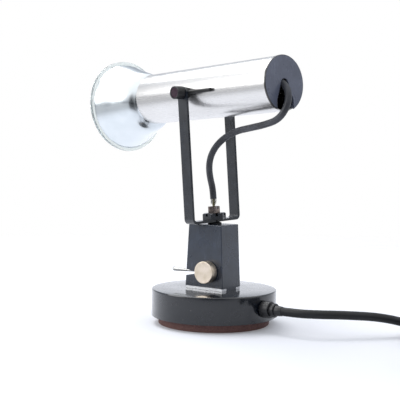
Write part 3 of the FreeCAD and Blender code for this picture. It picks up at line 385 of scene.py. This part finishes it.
def clear_glass():
    """Pressed borosilicate glass of the rim: clear with a green-blue cast, its surface left a
    little dull and wavy by the mould, over about 7 mm."""
    material, shader, place = start("pressed_borosilicate", {
        "Base Color": linear("#eef5f6"), "Roughness": 0.25, "IOR": 1.47,
        "Transmission Weight": 0.92})
    dress(material, shader, grain=(mottle(material, place, size=7, detail=2), 0.01))
    return material


def lens_glass():
    """The lens: pressed glass with a stipple of small domes about 4 mm apart on its inside."""
    material, shader, place = start("stippled_lens_glass", {
        "Base Color": linear("#e6efef"), "Roughness": 0.12, "IOR": 1.47,
        "Transmission Weight": 0.85})
    domes = add(material, "ShaderNodeTexVoronoi", {"feature": "SMOOTH_F1"}, {
        "Vector": place, "Scale": 1000.0 / 4, "Randomness": 0.35})
    dress(material, shader, grain=(domes.outputs["Distance"], 0.9))
    return material


def porcelain():
    """Glazed porcelain: warm white, smooth, with a glaze that waves over about 6 mm."""
    material, shader, place = start("glazed_porcelain", {
        "Base Color": linear("#e7e2d6"), "Roughness": 0.15, "Coat Weight": 0.5})
    dress(material, shader, grain=(mottle(material, place, size=6, detail=2), 0.05))
    return material


LACQUER = black_lacquer()
ENAMEL = satin_enamel("satin_slate_black_enamel", "#1a2330", "#435066")
BLACK = satin_enamel("satin_black_stove_enamel", "#0b1119", "#2a3442")
CAP_ENAMEL = satin_enamel("satin_slate_stove_enamel", "#555a69", "#7f8596")
RIM_PAINT = satin_enamel("brushed_edge_paint", "#101012", "#3f3632")
ALUMINIUM = satin_aluminium()
PLATE = bright_plate()
NICKEL = nickel()
BAT_PLATE = dull_metal("bright_plated_bat", "#a6a6a4", 0.3)
ZINC = dull_metal("zinc_plated_steel", "#a9abad", 0.35)
IRON = dull_metal("cast_iron_ballast", "#3c3c3d", 0.7)
BRASS = worn_brass("worn_nickelled_brass", "#857c6c", "#c9b98c")
GRIP_BRASS = worn_brass("dull_nickelled_grip", "#6d6461", "#a89b92")
BOARD = fibre_board()
PHENOLIC = moulded("black_phenolic_moulding", "#17181b", 0.35, 0.9)
KNOB_BLACK = moulded("black_abs_moulding", "#0d0e12", 0.32, 0.6)
PLUM = moulded("plum_lacquered_disc", "#2b0a21", 0.22, 0.7)
ROD_BLACK = moulded("blackened_steel", "#050506", 0.6, 0.6)
LEAD_RUBBER = sheath_rubber("lead_rubber_extruded", "#08090c", "#121419", 0.5)
FLEX_RUBBER = sheath_rubber("flex_rubber_extruded", "#292a2e", "#47494f", 0.42)
SOFT_RUBBER = sheath_rubber("soft_black_rubber", "#141416", "#26272a", 0.6)
CORES = core_rubber()
SILVERED = silvered_glass()
GLASS = clear_glass()
LENS = lens_glass()
PORCELAIN = porcelain()


# Workshop helpers

CREASE = 35     # edges sharper than this many degrees stay sharp


def only(piece):
    """Leaves one object selected and active."""
    bpy.ops.object.select_all(action="DESELECT")
    piece.select_set(True)
    bpy.context.view_layer.objects.active = piece


def finish_piece(piece, place, material, body, *nodes):
    """Puts a piece made in millimetres in its place and gives it its body and finish."""
    only(piece)
    piece.matrix_world = Matrix.Scale(MM, 4) @ place
    bpy.ops.object.transform_apply(location=True, rotation=True, scale=True)
    piece.data.materials.append(material)
    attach(piece, body)
    if nodes:
        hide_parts(*nodes)


def ease(piece, width, segments):
    """Rounds the sharp edges a little and smooths the shading."""
    bevel = piece.modifiers.new("ease", "BEVEL")
    bevel.width = width
    bevel.segments = segments
    bevel.limit_method = "ANGLE"
    bevel.angle_limit = radians(30)
    bpy.ops.object.modifier_apply(modifier=bevel.name)
    bpy.ops.object.shade_smooth_by_angle(angle=radians(CREASE))
    even = piece.modifiers.new("even", "WEIGHTED_NORMAL")
    even.keep_sharp = True
    bpy.ops.object.modifier_apply(modifier=even.name)


def turned(name, outline, sides, crease=CREASE):
    """A turned piece along +Z from (height, radius) stations; a radius of 0 closes an end, and
    an outline that ends where it starts closes on itself."""
    point = 0.01    # the radius that stands for 0
    height, first = outline[0]
    radius = max(first, point)
    bpy.ops.mesh.primitive_circle_add(vertices=sides, radius=radius, location=(0, 0, height))
    piece = bpy.context.object
    piece.name = name
    only(piece)
    bpy.ops.object.transform_apply(location=True, rotation=True, scale=True)
    bpy.ops.object.mode_set(mode="EDIT")
    bpy.ops.mesh.select_all(action="SELECT")
    if first == 0:
        bpy.ops.mesh.edge_face_add()
        bpy.ops.mesh.select_all(action="SELECT")
    for station, reach in outline[1:]:
        reach = max(reach, point)
        bpy.ops.mesh.extrude_region_move(
            TRANSFORM_OT_translate={"value": (0, 0, station - height)})
        share = reach / radius
        bpy.ops.transform.resize(value=(share, share, 1), center_override=(0, 0, station))
        height, radius = station, reach
    if outline[-1] == outline[0]:
        bpy.ops.mesh.select_all(action="SELECT")
        bpy.ops.mesh.remove_doubles(threshold=0.001)
    elif outline[-1][1] == 0 and first != 0:
        bpy.ops.mesh.edge_face_add()
    bpy.ops.mesh.select_all(action="SELECT")
    bpy.ops.mesh.normals_make_consistent(inside=False)
    bpy.ops.object.mode_set(mode="OBJECT")
    bpy.ops.object.shade_smooth_by_angle(angle=radians(crease))
    return piece


def rounding(height, radius, size, start_angle, end_angle, steps):
    """Stations round a corner; the angle is 0 outward and 90 up."""
    angles = [radians(start_angle + (end_angle - start_angle) * i / steps)
              for i in range(steps + 1)]
    return [(height + size * sin(angle), radius + size * cos(angle)) for angle in angles]


def worked_copy(node, edge, material, body, segments=2):
    """A merged copy of a solid, with its planes made whole and its sharp edges eased."""
    only(frame["nodes"][node])
    bpy.ops.object.duplicate()
    piece = bpy.context.object
    piece.name = node + "_piece"
    for mark in ("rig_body", "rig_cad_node"):     # the solid's own, not the copy's
        if mark in piece:
            del piece[mark]
    piece.parent = None
    piece.data.materials.clear()
    bpy.ops.object.mode_set(mode="EDIT")
    bpy.ops.mesh.select_all(action="SELECT")
    bpy.ops.mesh.remove_doubles(threshold=0.00001)
    bpy.ops.mesh.dissolve_limited(angle_limit=radians(0.5))
    bpy.ops.object.mode_set(mode="OBJECT")
    ease(piece, edge * MM, segments)
    piece.data.materials.append(material)
    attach(piece, body)
    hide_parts(node)
    return piece


def middle(node):
    """The middle of a solid's box, in millimetres."""
    low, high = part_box(node)
    return (low + high) / 2 / MM


def cord_curve(name, spots, diameter, place=UPRIGHT):
    """A cord on one smooth spline through its route, with its middle line and its length."""
    curve = bpy.data.curves.new(name, "CURVE")
    curve.dimensions = "3D"
    spline = curve.splines.new("NURBS")
    spline.points.add(len(spots) - 1)
    for point, spot in zip(spline.points, spots):
        point.co = (*(place @ Vector(spot) * MM), 1)
    spline.order_u = 3
    spline.use_endpoint_u = True
    spline.resolution_u = 5
    cord = bpy.data.objects.new(name, curve)
    bpy.context.collection.objects.link(cord)
    line = [vertex.co.copy() for vertex in bpy.data.meshes.new_from_object(cord).vertices]
    length = sum((b - a).length for a, b in zip(line, line[1:]))
    curve.bevel_depth = diameter / 2 * MM
    curve.bevel_resolution = 7
    curve.use_fill_caps = True
    return cord, line, length


def as_mesh(cord, material):
    """Makes a cord's curve a mesh, with its finish."""
    only(cord)
    bpy.ops.object.convert(target="MESH")
    piece = bpy.context.object
    piece.data.materials.append(material)
    bpy.ops.object.shade_smooth()
    return piece


# Cords: the mains lead with its coil and free end, and the flex to the lampholder

LEAD_ROUTE = [
    (6.5, 101, 26.4), (6.5, 124, 26.4), (-1.4, 144.6, 26.6), (-17, 162.5, 26.2), (-34, 179, 25.0),
    (-52, 196, 23.0), (-70, 211, 18.6), (-97, 228, 9.4)]


def coil_spot(angle, reach, lift):
    """A point of the coil, by its angle in degrees, its radius and its height."""
    return COIL + Vector((reach * cos(radians(angle)), reach * sin(radians(angle)), lift))


def coil_turns():
    """Two turns in on the lower layer and two out on the upper one, clockwise, and a little
    more to where the free end leaves. It climbs between the layers over half a turn."""
    spots_per_turn, layer_turns, spots_after = 16, 2, 6
    spots = []
    for index in range(2 * layer_turns * spots_per_turn + spots_after + 1):
        turns = index / spots_per_turn
        inward = max(min(turns, 2 * layer_turns - turns), 0)
        climb = min(max(turns - layer_turns, 0), 0.5)
        spots.append(coil_spot(COIL_ENTRY - 360 * turns, COIL_OUTER - COIL_STEP * inward,
                               COIL_LOW + COIL_RISE * sqrt(1 - (1 - 2 * climb) ** 2)))
    return spots


def tail_spots():
    """The free end runs off the coil, bends a little to the side and rises to the plug."""
    angle = radians(COIL_EXIT)
    begin = coil_spot(COIL_EXIT, COIL_OUTER, COIL_LOW + COIL_RISE)
    heading = Vector((sin(angle), -cos(angle), 0))
    aside = Vector((heading.y, -heading.x, 0))
    rise = Vector((0, 0, 2.2))      # to the middle of the plug
    return [begin + heading * 4,
            begin + heading * 25 + rise * 0.3,
            begin + heading * 48 + aside * 2.5 + rise,
            begin + heading * 71 + aside * 8 + rise]


TAIL = tail_spots()
lead, lead_line, lead_length = cord_curve("mains_lead", LEAD_ROUTE + coil_turns() + TAIL, LEAD)
lead.data.materials.append(LEAD_RUBBER)
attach(lead, "base")
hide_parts("mains_cable", "cable_coil", "tail_cable")

FLEX_ROUTE = [
    (0, -3.04, 163.0), (-0.5, 24, 165.0), (-1, 47, 167.0), (-1.2, 71, 169.5), (-0.5, 94, 169.5),
    (-0.1, 115.6, 166.3), (3.5, 133.2, 155.2), (9.0, 137.0, 136.1), (12.6, 125.0, 120.2),
    (9.3, 99.3, 115.9), (6.0, 76, 114.0), (3.2, 48, 111.6), (1.6, 27, 105.0), (0.5, 10, 95.6),
    (-0.3, -1.6, 83.0), (-0.5, -5.6, 69.5), (-0.4, -4.0, 55.5), (0, 0, 43.0), (0, 0, 31.0)]
flex_curve, flex_line, flex_length = cord_curve("flex_sheath", FLEX_ROUTE, FLEX, UPPER)
flex = as_mesh(flex_curve, FLEX_RUBBER)
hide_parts("flex")
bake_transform(flex)


# Drum and foot

def drum():
    """The spun drum: open below, with a lip at its mouth and a rounded top edge."""
    bore, ceiling, lip, edge = DRUM_RADIUS - DRUM_WALL, DRUM_TOP - DRUM_WALL, 0.5, 1.6
    shell = [(ceiling, 0), (ceiling, bore), (FOOT_TOP, bore)]
    shell += rounding(FOOT_TOP + lip, DRUM_RADIUS - lip, lip, -90, 0, 2)
    shell += rounding(DRUM_TOP - edge, DRUM_RADIUS - edge, edge, 0, 90, 6)
    # The loop at 40 keeps the shading of the flat top even.
    shell += [(DRUM_TOP, 40), (DRUM_TOP, 0)]
    finish_piece(turned("drum", shell, 192), UPRIGHT, LACQUER, "base", "drum_shell")


def foot():
    """The fibre disc, with three bored and counterbored screw holes in its underside."""
    edge, holes = 1.2, 3
    bore, counterbore = (2.6, 30), (4.95, 10)       # radius and depth
    disc = [(0, 0)] + rounding(edge, FOOT_RADIUS - edge, edge, -90, 0, 4)
    disc += [(FOOT_TOP, FOOT_RADIUS), (FOOT_TOP, 0)]
    piece = turned("foot", disc, 160)
    for index in range(holes):
        angle = radians(90 + 360 / holes * index)
        spot = (SCREW_CIRCLE * cos(angle), SCREW_CIRCLE * sin(angle), 0)
        for radius, depth in (bore, counterbore):
            bpy.ops.mesh.primitive_cylinder_add(
                vertices=40, radius=radius, depth=depth, location=spot)
            drill = bpy.context.object
            only(piece)
            cut = piece.modifiers.new("hole", "BOOLEAN")
            cut.object = drill
            bpy.ops.object.modifier_apply(modifier=cut.name)
            bpy.data.objects.remove(drill)
    bpy.ops.object.shade_smooth_by_angle(angle=radians(CREASE))
    finish_piece(piece, UPRIGHT, BOARD, "base", "foot_disc")


drum()
foot()


# Column

def lever():
    """The bat lever: a thin neck that swells to a round tip."""
    root, neck, neck_end, tip = -1.5, 1.1, 15.0, 2.7
    bat = [(root, 0), (root, neck), (neck_end, neck), (LEVER_LENGTH - tip, tip)]
    bat += rounding(LEVER_LENGTH - tip, 0, tip, 15, 90, 6)[:-1] + [(LEVER_LENGTH, 0)]
    place = Matrix.Translation(middle("switch_pin")) @ AGAINST_Y
    finish_piece(turned("switch_bat", bat, 48, crease=40), place, BAT_PLATE,
                 "switch_lever", "switch_lever")


def nickel_knob():
    """The turned knob: recess behind, plain side, eased edge and a faintly dished face."""
    back, face, bore, bore_end, recess, recess_end = 0.8, 11.2, 3.0, 8.0, 8.5, 5.0
    chamfer, edge = 0.4, 0.6
    side = [(bore_end, 0), (bore_end, bore), (recess_end, bore), (recess_end, recess),
            (back, recess), (back, KNOB_RADIUS - chamfer), (back + chamfer, KNOB_RADIUS)]
    side += rounding(face - edge, KNOB_RADIUS - edge, edge, 0, 90, 4)
    dish = [(face, 11.6), (face - 0.08, 11.2), (face - 0.12, 6.0), (face - 0.15, 0)]
    low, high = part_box("dimmer_knob")
    centre = (low + high) / 2 / MM
    centre.x = low.x / MM - back
    finish_piece(turned("nickel_knob", side + dish, 128), Matrix.Translation(centre) @ ALONG_X,
                 NICKEL, "dimmer_knob", "dimmer_knob")


worked_copy("housing", 0.6, ENAMEL, "base", 3)
worked_copy("column_plate", 0.25, PLATE, "base")
worked_copy("seat_washer", 0.2, SOFT_RUBBER, "base")
lever()
nickel_knob()


# Stem, nuts and yoke

worked_copy("yoke_strip", 0.35, BLACK, "yoke")
worked_copy("castle_nut", 0.3, BLACK, "yoke")
worked_copy("cord_grip", 0.25, GRIP_BRASS, "yoke")
worked_copy("grub_screw", 0.2, ZINC, "yoke")
worked_copy("bar_peg", 0.3, BLACK, "yoke")


def strand(name, spots, width, material):
    """A thin round strand through these spots of the upper frame."""
    curve = cord_curve(name, spots, width, UPPER)[0]
    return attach(as_mesh(curve, material), "yoke")


def cores():
    """Two rubbered cores, twisted together from inside the cut sheath down into the stem."""
    reach, step, twist, count = 1.02, 2.0, 42, 20
    for number in (0, 1):
        spots = []
        for index in range(count):
            angle = radians(index * twist + 180 * number)
            spots.append((reach * cos(angle), reach * sin(angle), SHEATH_END + 1 - index * step))
        core = strand("core_%d" % number, spots, 2.0, CORES)
        if number == 0:
            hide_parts("flex_cores")


def frayed_end():
    """The frayed cotton of the sheath's cut end, in uneven threads round the cores."""
    golden_angle, threads = 137.5, 14
    for number in range(threads):
        angle = radians(number * golden_angle)
        out = Vector((cos(angle), sin(angle), 0))
        flare = 2.6 + 1.6 * ((number * 7) % 5) / 4
        drop = 3.0 + 4.0 * ((number * 3) % 7) / 6
        spots = [out * 3.2 + Vector((0, 0, SHEATH_END + 1)),
                 out * 3.4 + Vector((0, 0, SHEATH_END - 0.6)),
                 out * flare + Vector((0.6, 0.4, SHEATH_END - drop * 0.6)),
                 out * (flare * 0.8) + Vector((0.9, 0.2, SHEATH_END - drop))]
        strand("frayed_%02d" % number, spots, 0.5, FLEX_RUBBER if number % 3 else CORES)


cores()
frayed_end()


# Head

def tube():
    """The drawn tube, its two ends faced and eased."""
    bore = TUBE_RADIUS - TUBE_WALL
    mouth = (TUBE_FRONT, bore + 0.4)
    wall = [mouth, (TUBE_FRONT + 0.3, bore),
            (TUBE_REAR - 0.3, bore), (TUBE_REAR, bore + 0.25),
            (TUBE_REAR, TUBE_RADIUS - 0.15), (TUBE_REAR - 0.2, TUBE_RADIUS),
            (0, TUBE_RADIUS),
            (TUBE_FRONT + 0.4, TUBE_RADIUS), (TUBE_FRONT, TUBE_RADIUS - 0.35), mouth]
    finish_piece(turned("head_tube", wall, 192), HEAD @ ALONG_Y, ALUMINIUM, "head", "lamp_tube")


def cap():
    """The rear cap: slate face, dark edge."""
    piece = worked_copy("rear_cap", 0.3, CAP_ENAMEL, "head")
    piece.data.materials.append(RIM_PAINT)
    axis = (HEAD.to_3x3() @ Vector((0, 1, 0))).normalized()
    centre = HEAD @ Vector((0, 0, 0)) * MM
    edge = TUBE_RADIUS - 0.15       # faces further out than this are the cap's edge
    for face in piece.data.polygons:
        away = face.center - centre
        if (away - axis * away.dot(axis)).length / MM > edge:
            face.material_index = 1


tube()
cap()
worked_copy("tilt_knob", 0.15, KNOB_BLACK, "tilt_knob")
worked_copy("knob_disc", 0.3, PLUM, "tilt_knob")
worked_copy("pivot_washer", 0.2, BLACK, "tilt_knob")
worked_copy("lock_lever", 0.2, ROD_BLACK, "lock_lever")
worked_copy("far_spacer", 0.2, BLACK, "head")
worked_copy("far_screw", 0.25, BLACK, "head")
worked_copy("holder_bracket", 0.2, ZINC, "head")
worked_copy("lampholder", 0.6, PORCELAIN, "head")


# Reflector lamp: stations run forward along -Y of the lamp frame

NECK_REAR = 13.0
FACING = LAMP @ AGAINST_Y


def reflector():
    """Pressed and silvered glass: neck, shoulder and bowl, with an even wall."""
    outside = [
        (NECK_REAR, 13.1), (15, 17.0), (28, 19.2), (42, 22.5), (52, 25.2), (58.2, 27.3),
        (60.6, 31.2), (63, 35.5), (68, 38.2), (74, 40.6), (80, 43.0), (86, 45.3), (92, 47.7),
        (98, 50.4), (104, 53.0), (108, 54.6), (112, BOWL_MOUTH + GLASS_WALL)]
    inside = [(station, radius - GLASS_WALL) for station, radius in reversed(outside[1:])]
    outline = [(NECK_REAR, 0)] + outside + inside + [(15.4, 0)]
    finish_piece(turned("reflector", outline, 160, crease=40), FACING, SILVERED,
                 "bulb", "bulb_glass")


def rim():
    """The thick clear rim, pressed in two halves that meet at a fine groove."""
    rear, front, seam, radius, edge, groove = 112.1, 116.6, 114.3, 59.9, 0.8, 0.2
    seat = (rear, BOWL_MOUTH)
    outline = [seat, (rear, 56.6)]
    outline += rounding(rear + edge, radius - edge, edge, -90, 0, 3)
    outline += [(seam - groove, radius), (seam, radius - 2 * groove), (seam + groove, radius)]
    outline += rounding(front - edge, radius - edge, edge, 0, 90, 3)
    outline += [(front, 54.2), (seam, 52.2), seat]
    finish_piece(turned("lens_rim", outline, 160), FACING, GLASS, "bulb")


def lens():
    """The domed lens in front, with an even wall."""
    crown = 122.0
    radii = (0, 10, 20, 30, 40, 48)
    inside = [(crown - GLASS_WALL - LENS_BULGE * (radius / BOWL_MOUTH) ** 2, radius)
              for radius in radii + (52,)]
    outside = [(crown - LENS_BULGE * (radius / BOWL_MOUTH) ** 2, radius)
               for radius in (BOWL_MOUTH,) + radii[::-1]]
    finish_piece(turned("lens", inside + outside, 160, crease=40), FACING, LENS,
                 "bulb", "bulb_lens")


def screw_cap():
    """The brass screw cap with its rolled round thread and its contact."""
    thread_start, pitch, thread_radius, thread_depth, quarters = -8, 3.6, 12.45, 0.62, 20
    outline = [(-14, 0), (-14, 3.6), (-13.4, 4.0), (-11.5, 4.3), (-10.4, 8.8), (-9, 11.6)]
    outline += [(thread_start + quarter * pitch / 4,
                 thread_radius + thread_depth * sin(radians(90 * quarter)))
                for quarter in range(quarters)]
    outline += [(10.5, 12.6), (NECK_REAR, 13.1), (NECK_REAR, 0)]
    finish_piece(turned("screw_cap", outline, 72, crease=50), FACING, BRASS, "bulb", "bulb_cap")


reflector()
rim()
lens()
screw_cap()


# Mains gland and plug

def gland():
    """The moulded gland: flange, groove, ring and a short tapered sleeve."""
    bore, thread, flange, groove, ring, sleeve = 5.3, 8.0, 10.0, 7.25, 8.3, 6.3
    inner_end, flange_end, groove_end, ring_end, sleeve_end = -9.4, 11.5, 13.7, 17.7, 26.7
    seat_edge, edge, ring_edge = 0.8, 1.0, 0.7
    outline = [(inner_end, bore), (inner_end, thread), (0, thread)]
    outline += rounding(seat_edge, flange - seat_edge, seat_edge, -90, 0, 3)
    outline += rounding(flange_end - edge, flange - edge, edge, 0, 90, 4)
    outline += [(flange_end, groove), (groove_end, groove)]
    outline += rounding(groove_end + ring_edge, ring - ring_edge, ring_edge, -90, 0, 3)
    outline += rounding(ring_end - ring_edge, ring - ring_edge, ring_edge, 0, 90, 3)
    outline += [(ring_end, sleeve), (22, 6.0), (sleeve_end - 0.5, 5.6), (sleeve_end, bore),
                (inner_end, bore)]
    centre = middle("cable_gland")
    centre.y = GLAND_Y
    finish_piece(turned("lead_gland", outline, 80), Matrix.Translation(centre) @ ALONG_Y,
                 PHENOLIC, "base", "cable_gland")


def plug():
    """The moulded round plug with a waist for the fingers and a ribbed bend relief."""
    heading = (TAIL[-1] - TAIL[-2]).normalized()
    place = Matrix.Translation(TAIL[-1]) @ heading.to_track_quat("Z", "Y").to_matrix().to_4x4()
    outline = [(0, 0), (0, 5.5)]
    for rib in range(5):
        base, crest = 1 + rib * 3.8, 6.2 + rib * 0.4
        valley = crest - 0.7
        outline += [(base, crest), (base + 2.2, crest + 0.15),
                    (base + 2.6, valley), (base + 3.4, valley)]
    outline += [(20, 7.9), (22, 10.0), (26, 13.3), (34, 14.0), (44, 14.2), (52, 15.5), (55, 17.7),
                (57, 18.5), (62.8, 18.5), (64, 17.4), (64, 0)]
    piece = turned("plug", outline, 96, crease=40)
    finish_piece(piece, place, PHENOLIC, "base", "mains_plug")
    return piece


gland()
plug_piece = plug()
pins = worked_copy("plug_pins", 0.2, BRASS, "base")
tie = worked_copy("coil_tie", 0.25, SOFT_RUBBER, "base")


# Finishes of the solids that stay as they are

LEFT_AS_SOLIDS = {
    "base_plate": ENAMEL, "ballast": IRON, "foot_screws": ZINC, "column_screws": ZINC,
    "switch_body": PHENOLIC, "switch_pin": ZINC, "dimmer_body": PHENOLIC, "dimmer_nut": BRASS,
    "dimmer_shaft": BRASS, "terminal_block": PORCELAIN, "stem_tube": ROD_BLACK,
    "stem_washer": ZINC, "stem_nut": ZINC, "pivot_stud": ZINC, "stud_nuts": ZINC,
    "holder_nipple": BRASS, "gland_nut": PHENOLIC}
for node, material in LEFT_AS_SOLIDS.items():
    solid = frame["nodes"][node]
    solid.data.materials.clear()
    solid.data.materials.append(material)


# Floor, light and world; places are in metres here

LOOKING = (-0.797, -0.602, 0.0)     # the way that the camera looks, taken level
# Tones by height: 0 straight down, 0.5 level, 1 straight up
ROOM_TONES = (
    (0.0, "#b9bcc4"), (0.47, "#d6d8dc"), (0.5, "#d4d6da"), (0.52, "#4c5059"), (0.54, "#4c5059"),
    (0.56, "#dcdee2"), (0.64, "#e6e8ec"), (0.66, "#fbfcff"), (1.0, "#ffffff"))
SWEEP_TONES = ((0.6, "#f4f7ff"), (0.65, "#8d939c"), (0.79, "#8d939c"), (0.86, "#e2e2e4"))
SWEEP_LIGHT = 1.2
SWEEP_FROM, SWEEP_FULL = 0.1, 0.55      # cosines of the angle to where the camera looks
DARK_FROM, DARK_FULL = -0.8, -0.97      # the same, round the dark place of the camera
DARK_LIGHT = 0.12                       # share of the room's light there
CEILING_FROM, CEILING_FULL = 0.3, 0.52  # heights of a ray's direction
CEILING_LIGHT = 1.45
FILL = "#b6bac2"                        # even light from all round, for matte surfaces
FLOOR_RADIUS = 1.6
FLOOR_MIDDLE = (-0.05, 0.1, -0.0004)    # just under the foot
FLOOR_GLOW = 0.13
FLOOR_WHOLE, FLOOR_GONE = 0.45, 1.3     # how far out it starts and ends to fade


def floor():
    """A pale round paper sheet, matte and glowing a little, so that it keeps the soft shadow
    and fades into the white round it."""
    bpy.ops.mesh.primitive_circle_add(
        vertices=96, radius=FLOOR_RADIUS, fill_type="NGON", location=FLOOR_MIDDLE)
    ground = bpy.context.object
    ground.name = "floor"
    material, shader, place = start("white_paper_sweep", {
        "Base Color": linear("#e3e4e8"), "Roughness": 0.9, "Specular IOR Level": 0.0,
        "Emission Color": linear("#ffffff"), "Emission Strength": FLOOR_GLOW})
    reach = add(material, "ShaderNodeVectorMath", {"operation": "LENGTH"}, {0: place})
    fade = add(material, "ShaderNodeMapRange", {"interpolation_type": "SMOOTHSTEP"}, {
        "Value": reach.outputs["Value"], "From Min": FLOOR_WHOLE, "From Max": FLOOR_GONE,
        "To Min": 1.0, "To Max": 0.0})
    connect(material, shader, {"Alpha": fade.outputs["Result"]})
    ground.data.materials.append(material)


def light(name, spot, target, size, power):
    """A round soft box of this size in metres and power in watts, turned to its target."""
    bpy.ops.object.light_add(type="AREA", location=spot)
    lamp = bpy.context.object
    lamp.name = name
    lamp.data.shape = "DISK"
    lamp.data.size = size
    lamp.data.energy = power
    lamp.rotation_euler = (Vector(target) - Vector(spot)).to_track_quat("-Z", "Y").to_euler()


def surroundings():
    """White behind the object. What it mirrors is a bright white sweep behind, and a room on the
    camera's side that is dark where the camera stands and brighter toward the ceiling."""
    world = bpy.data.worlds.new("studio")
    bpy.context.scene.world = world
    world.use_nodes = True
    way = add(world, "ShaderNodeTexCoord", {}, {}).outputs["Generated"]
    upward = add(world, "ShaderNodeSeparateXYZ", {}, {"Vector": way}).outputs["Z"]
    height = add(world, "ShaderNodeMapRange", {}, {"Value": upward, "From Min": -1.0})
    room, sweep = [
        add(world, "ShaderNodeValToRGB", {}, {"Fac": height.outputs["Result"]}) for _ in range(2)]
    for node, tones in ((room, ROOM_TONES), (sweep, SWEEP_TONES)):
        elements = node.color_ramp.elements
        for element, (share, tone) in zip(list(elements), (tones[0], tones[-1])):
            element.position, element.color = share, linear(tone)
        for share, tone in tones[1:-1]:
            elements.new(share).color = linear(tone)
    away = add(world, "ShaderNodeVectorMath", {"operation": "DOT_PRODUCT"}, {
        0: way, 1: LOOKING}).outputs["Value"]
    unlit = add(world, "ShaderNodeMapRange", {"interpolation_type": "SMOOTHSTEP"}, {
        "Value": away, "From Min": DARK_FULL, "From Max": DARK_FROM,
        "To Min": DARK_LIGHT, "To Max": 1.0})
    front = add(world, "ShaderNodeVectorMath", {"operation": "SCALE"}, {
        0: room.outputs["Color"], "Scale": unlit.outputs["Result"]})
    behind = add(world, "ShaderNodeMapRange", {"interpolation_type": "SMOOTHSTEP"}, {
        "Value": away, "From Min": SWEEP_FROM, "From Max": SWEEP_FULL})
    lit = add(world, "ShaderNodeVectorMath", {"operation": "SCALE"}, {
        0: sweep.outputs["Color"], "Scale": SWEEP_LIGHT})
    around = add(world, "ShaderNodeMix", {"data_type": "RGBA"}, {
        SHARE: behind.outputs["Result"], FIRST: front.outputs["Vector"],
        SECOND: lit.outputs["Vector"]})
    path = add(world, "ShaderNodeLightPath", {}, {})
    mirrored = add(world, "ShaderNodeMix", {"data_type": "RGBA"}, {
        SHARE: path.outputs["Is Glossy Ray"], FIRST: linear(FILL), SECOND: around.outputs[MIXED]})
    seen = add(world, "ShaderNodeMath", {"operation": "MAXIMUM"}, {
        0: path.outputs["Is Camera Ray"], 1: path.outputs["Is Transmission Ray"]})
    shown = add(world, "ShaderNodeMix", {"data_type": "RGBA"}, {
        SHARE: seen.outputs["Value"], FIRST: mirrored.outputs[MIXED], SECOND: linear("#ffffff")})
    ceiling = add(world, "ShaderNodeMapRange", {}, {
        "Value": upward, "From Min": CEILING_FROM, "From Max": CEILING_FULL,
        "To Min": 1.0, "To Max": CEILING_LIGHT})
    connect(world, world.node_tree.nodes["Background"], {
        "Color": shown.outputs[MIXED], "Strength": ceiling.outputs["Result"]})


floor()
surroundings()
light("softbox_overhead", spot=(-0.1, -0.75, 1.6), target=(0, 0.0, 0.1), size=1.3, power=22)
light("softbox_left", spot=(1.3, -1.1, 0.8), target=(0, 0, 0.15), size=1.1, power=12)
bpy.context.scene.view_settings.view_transform = "Standard"
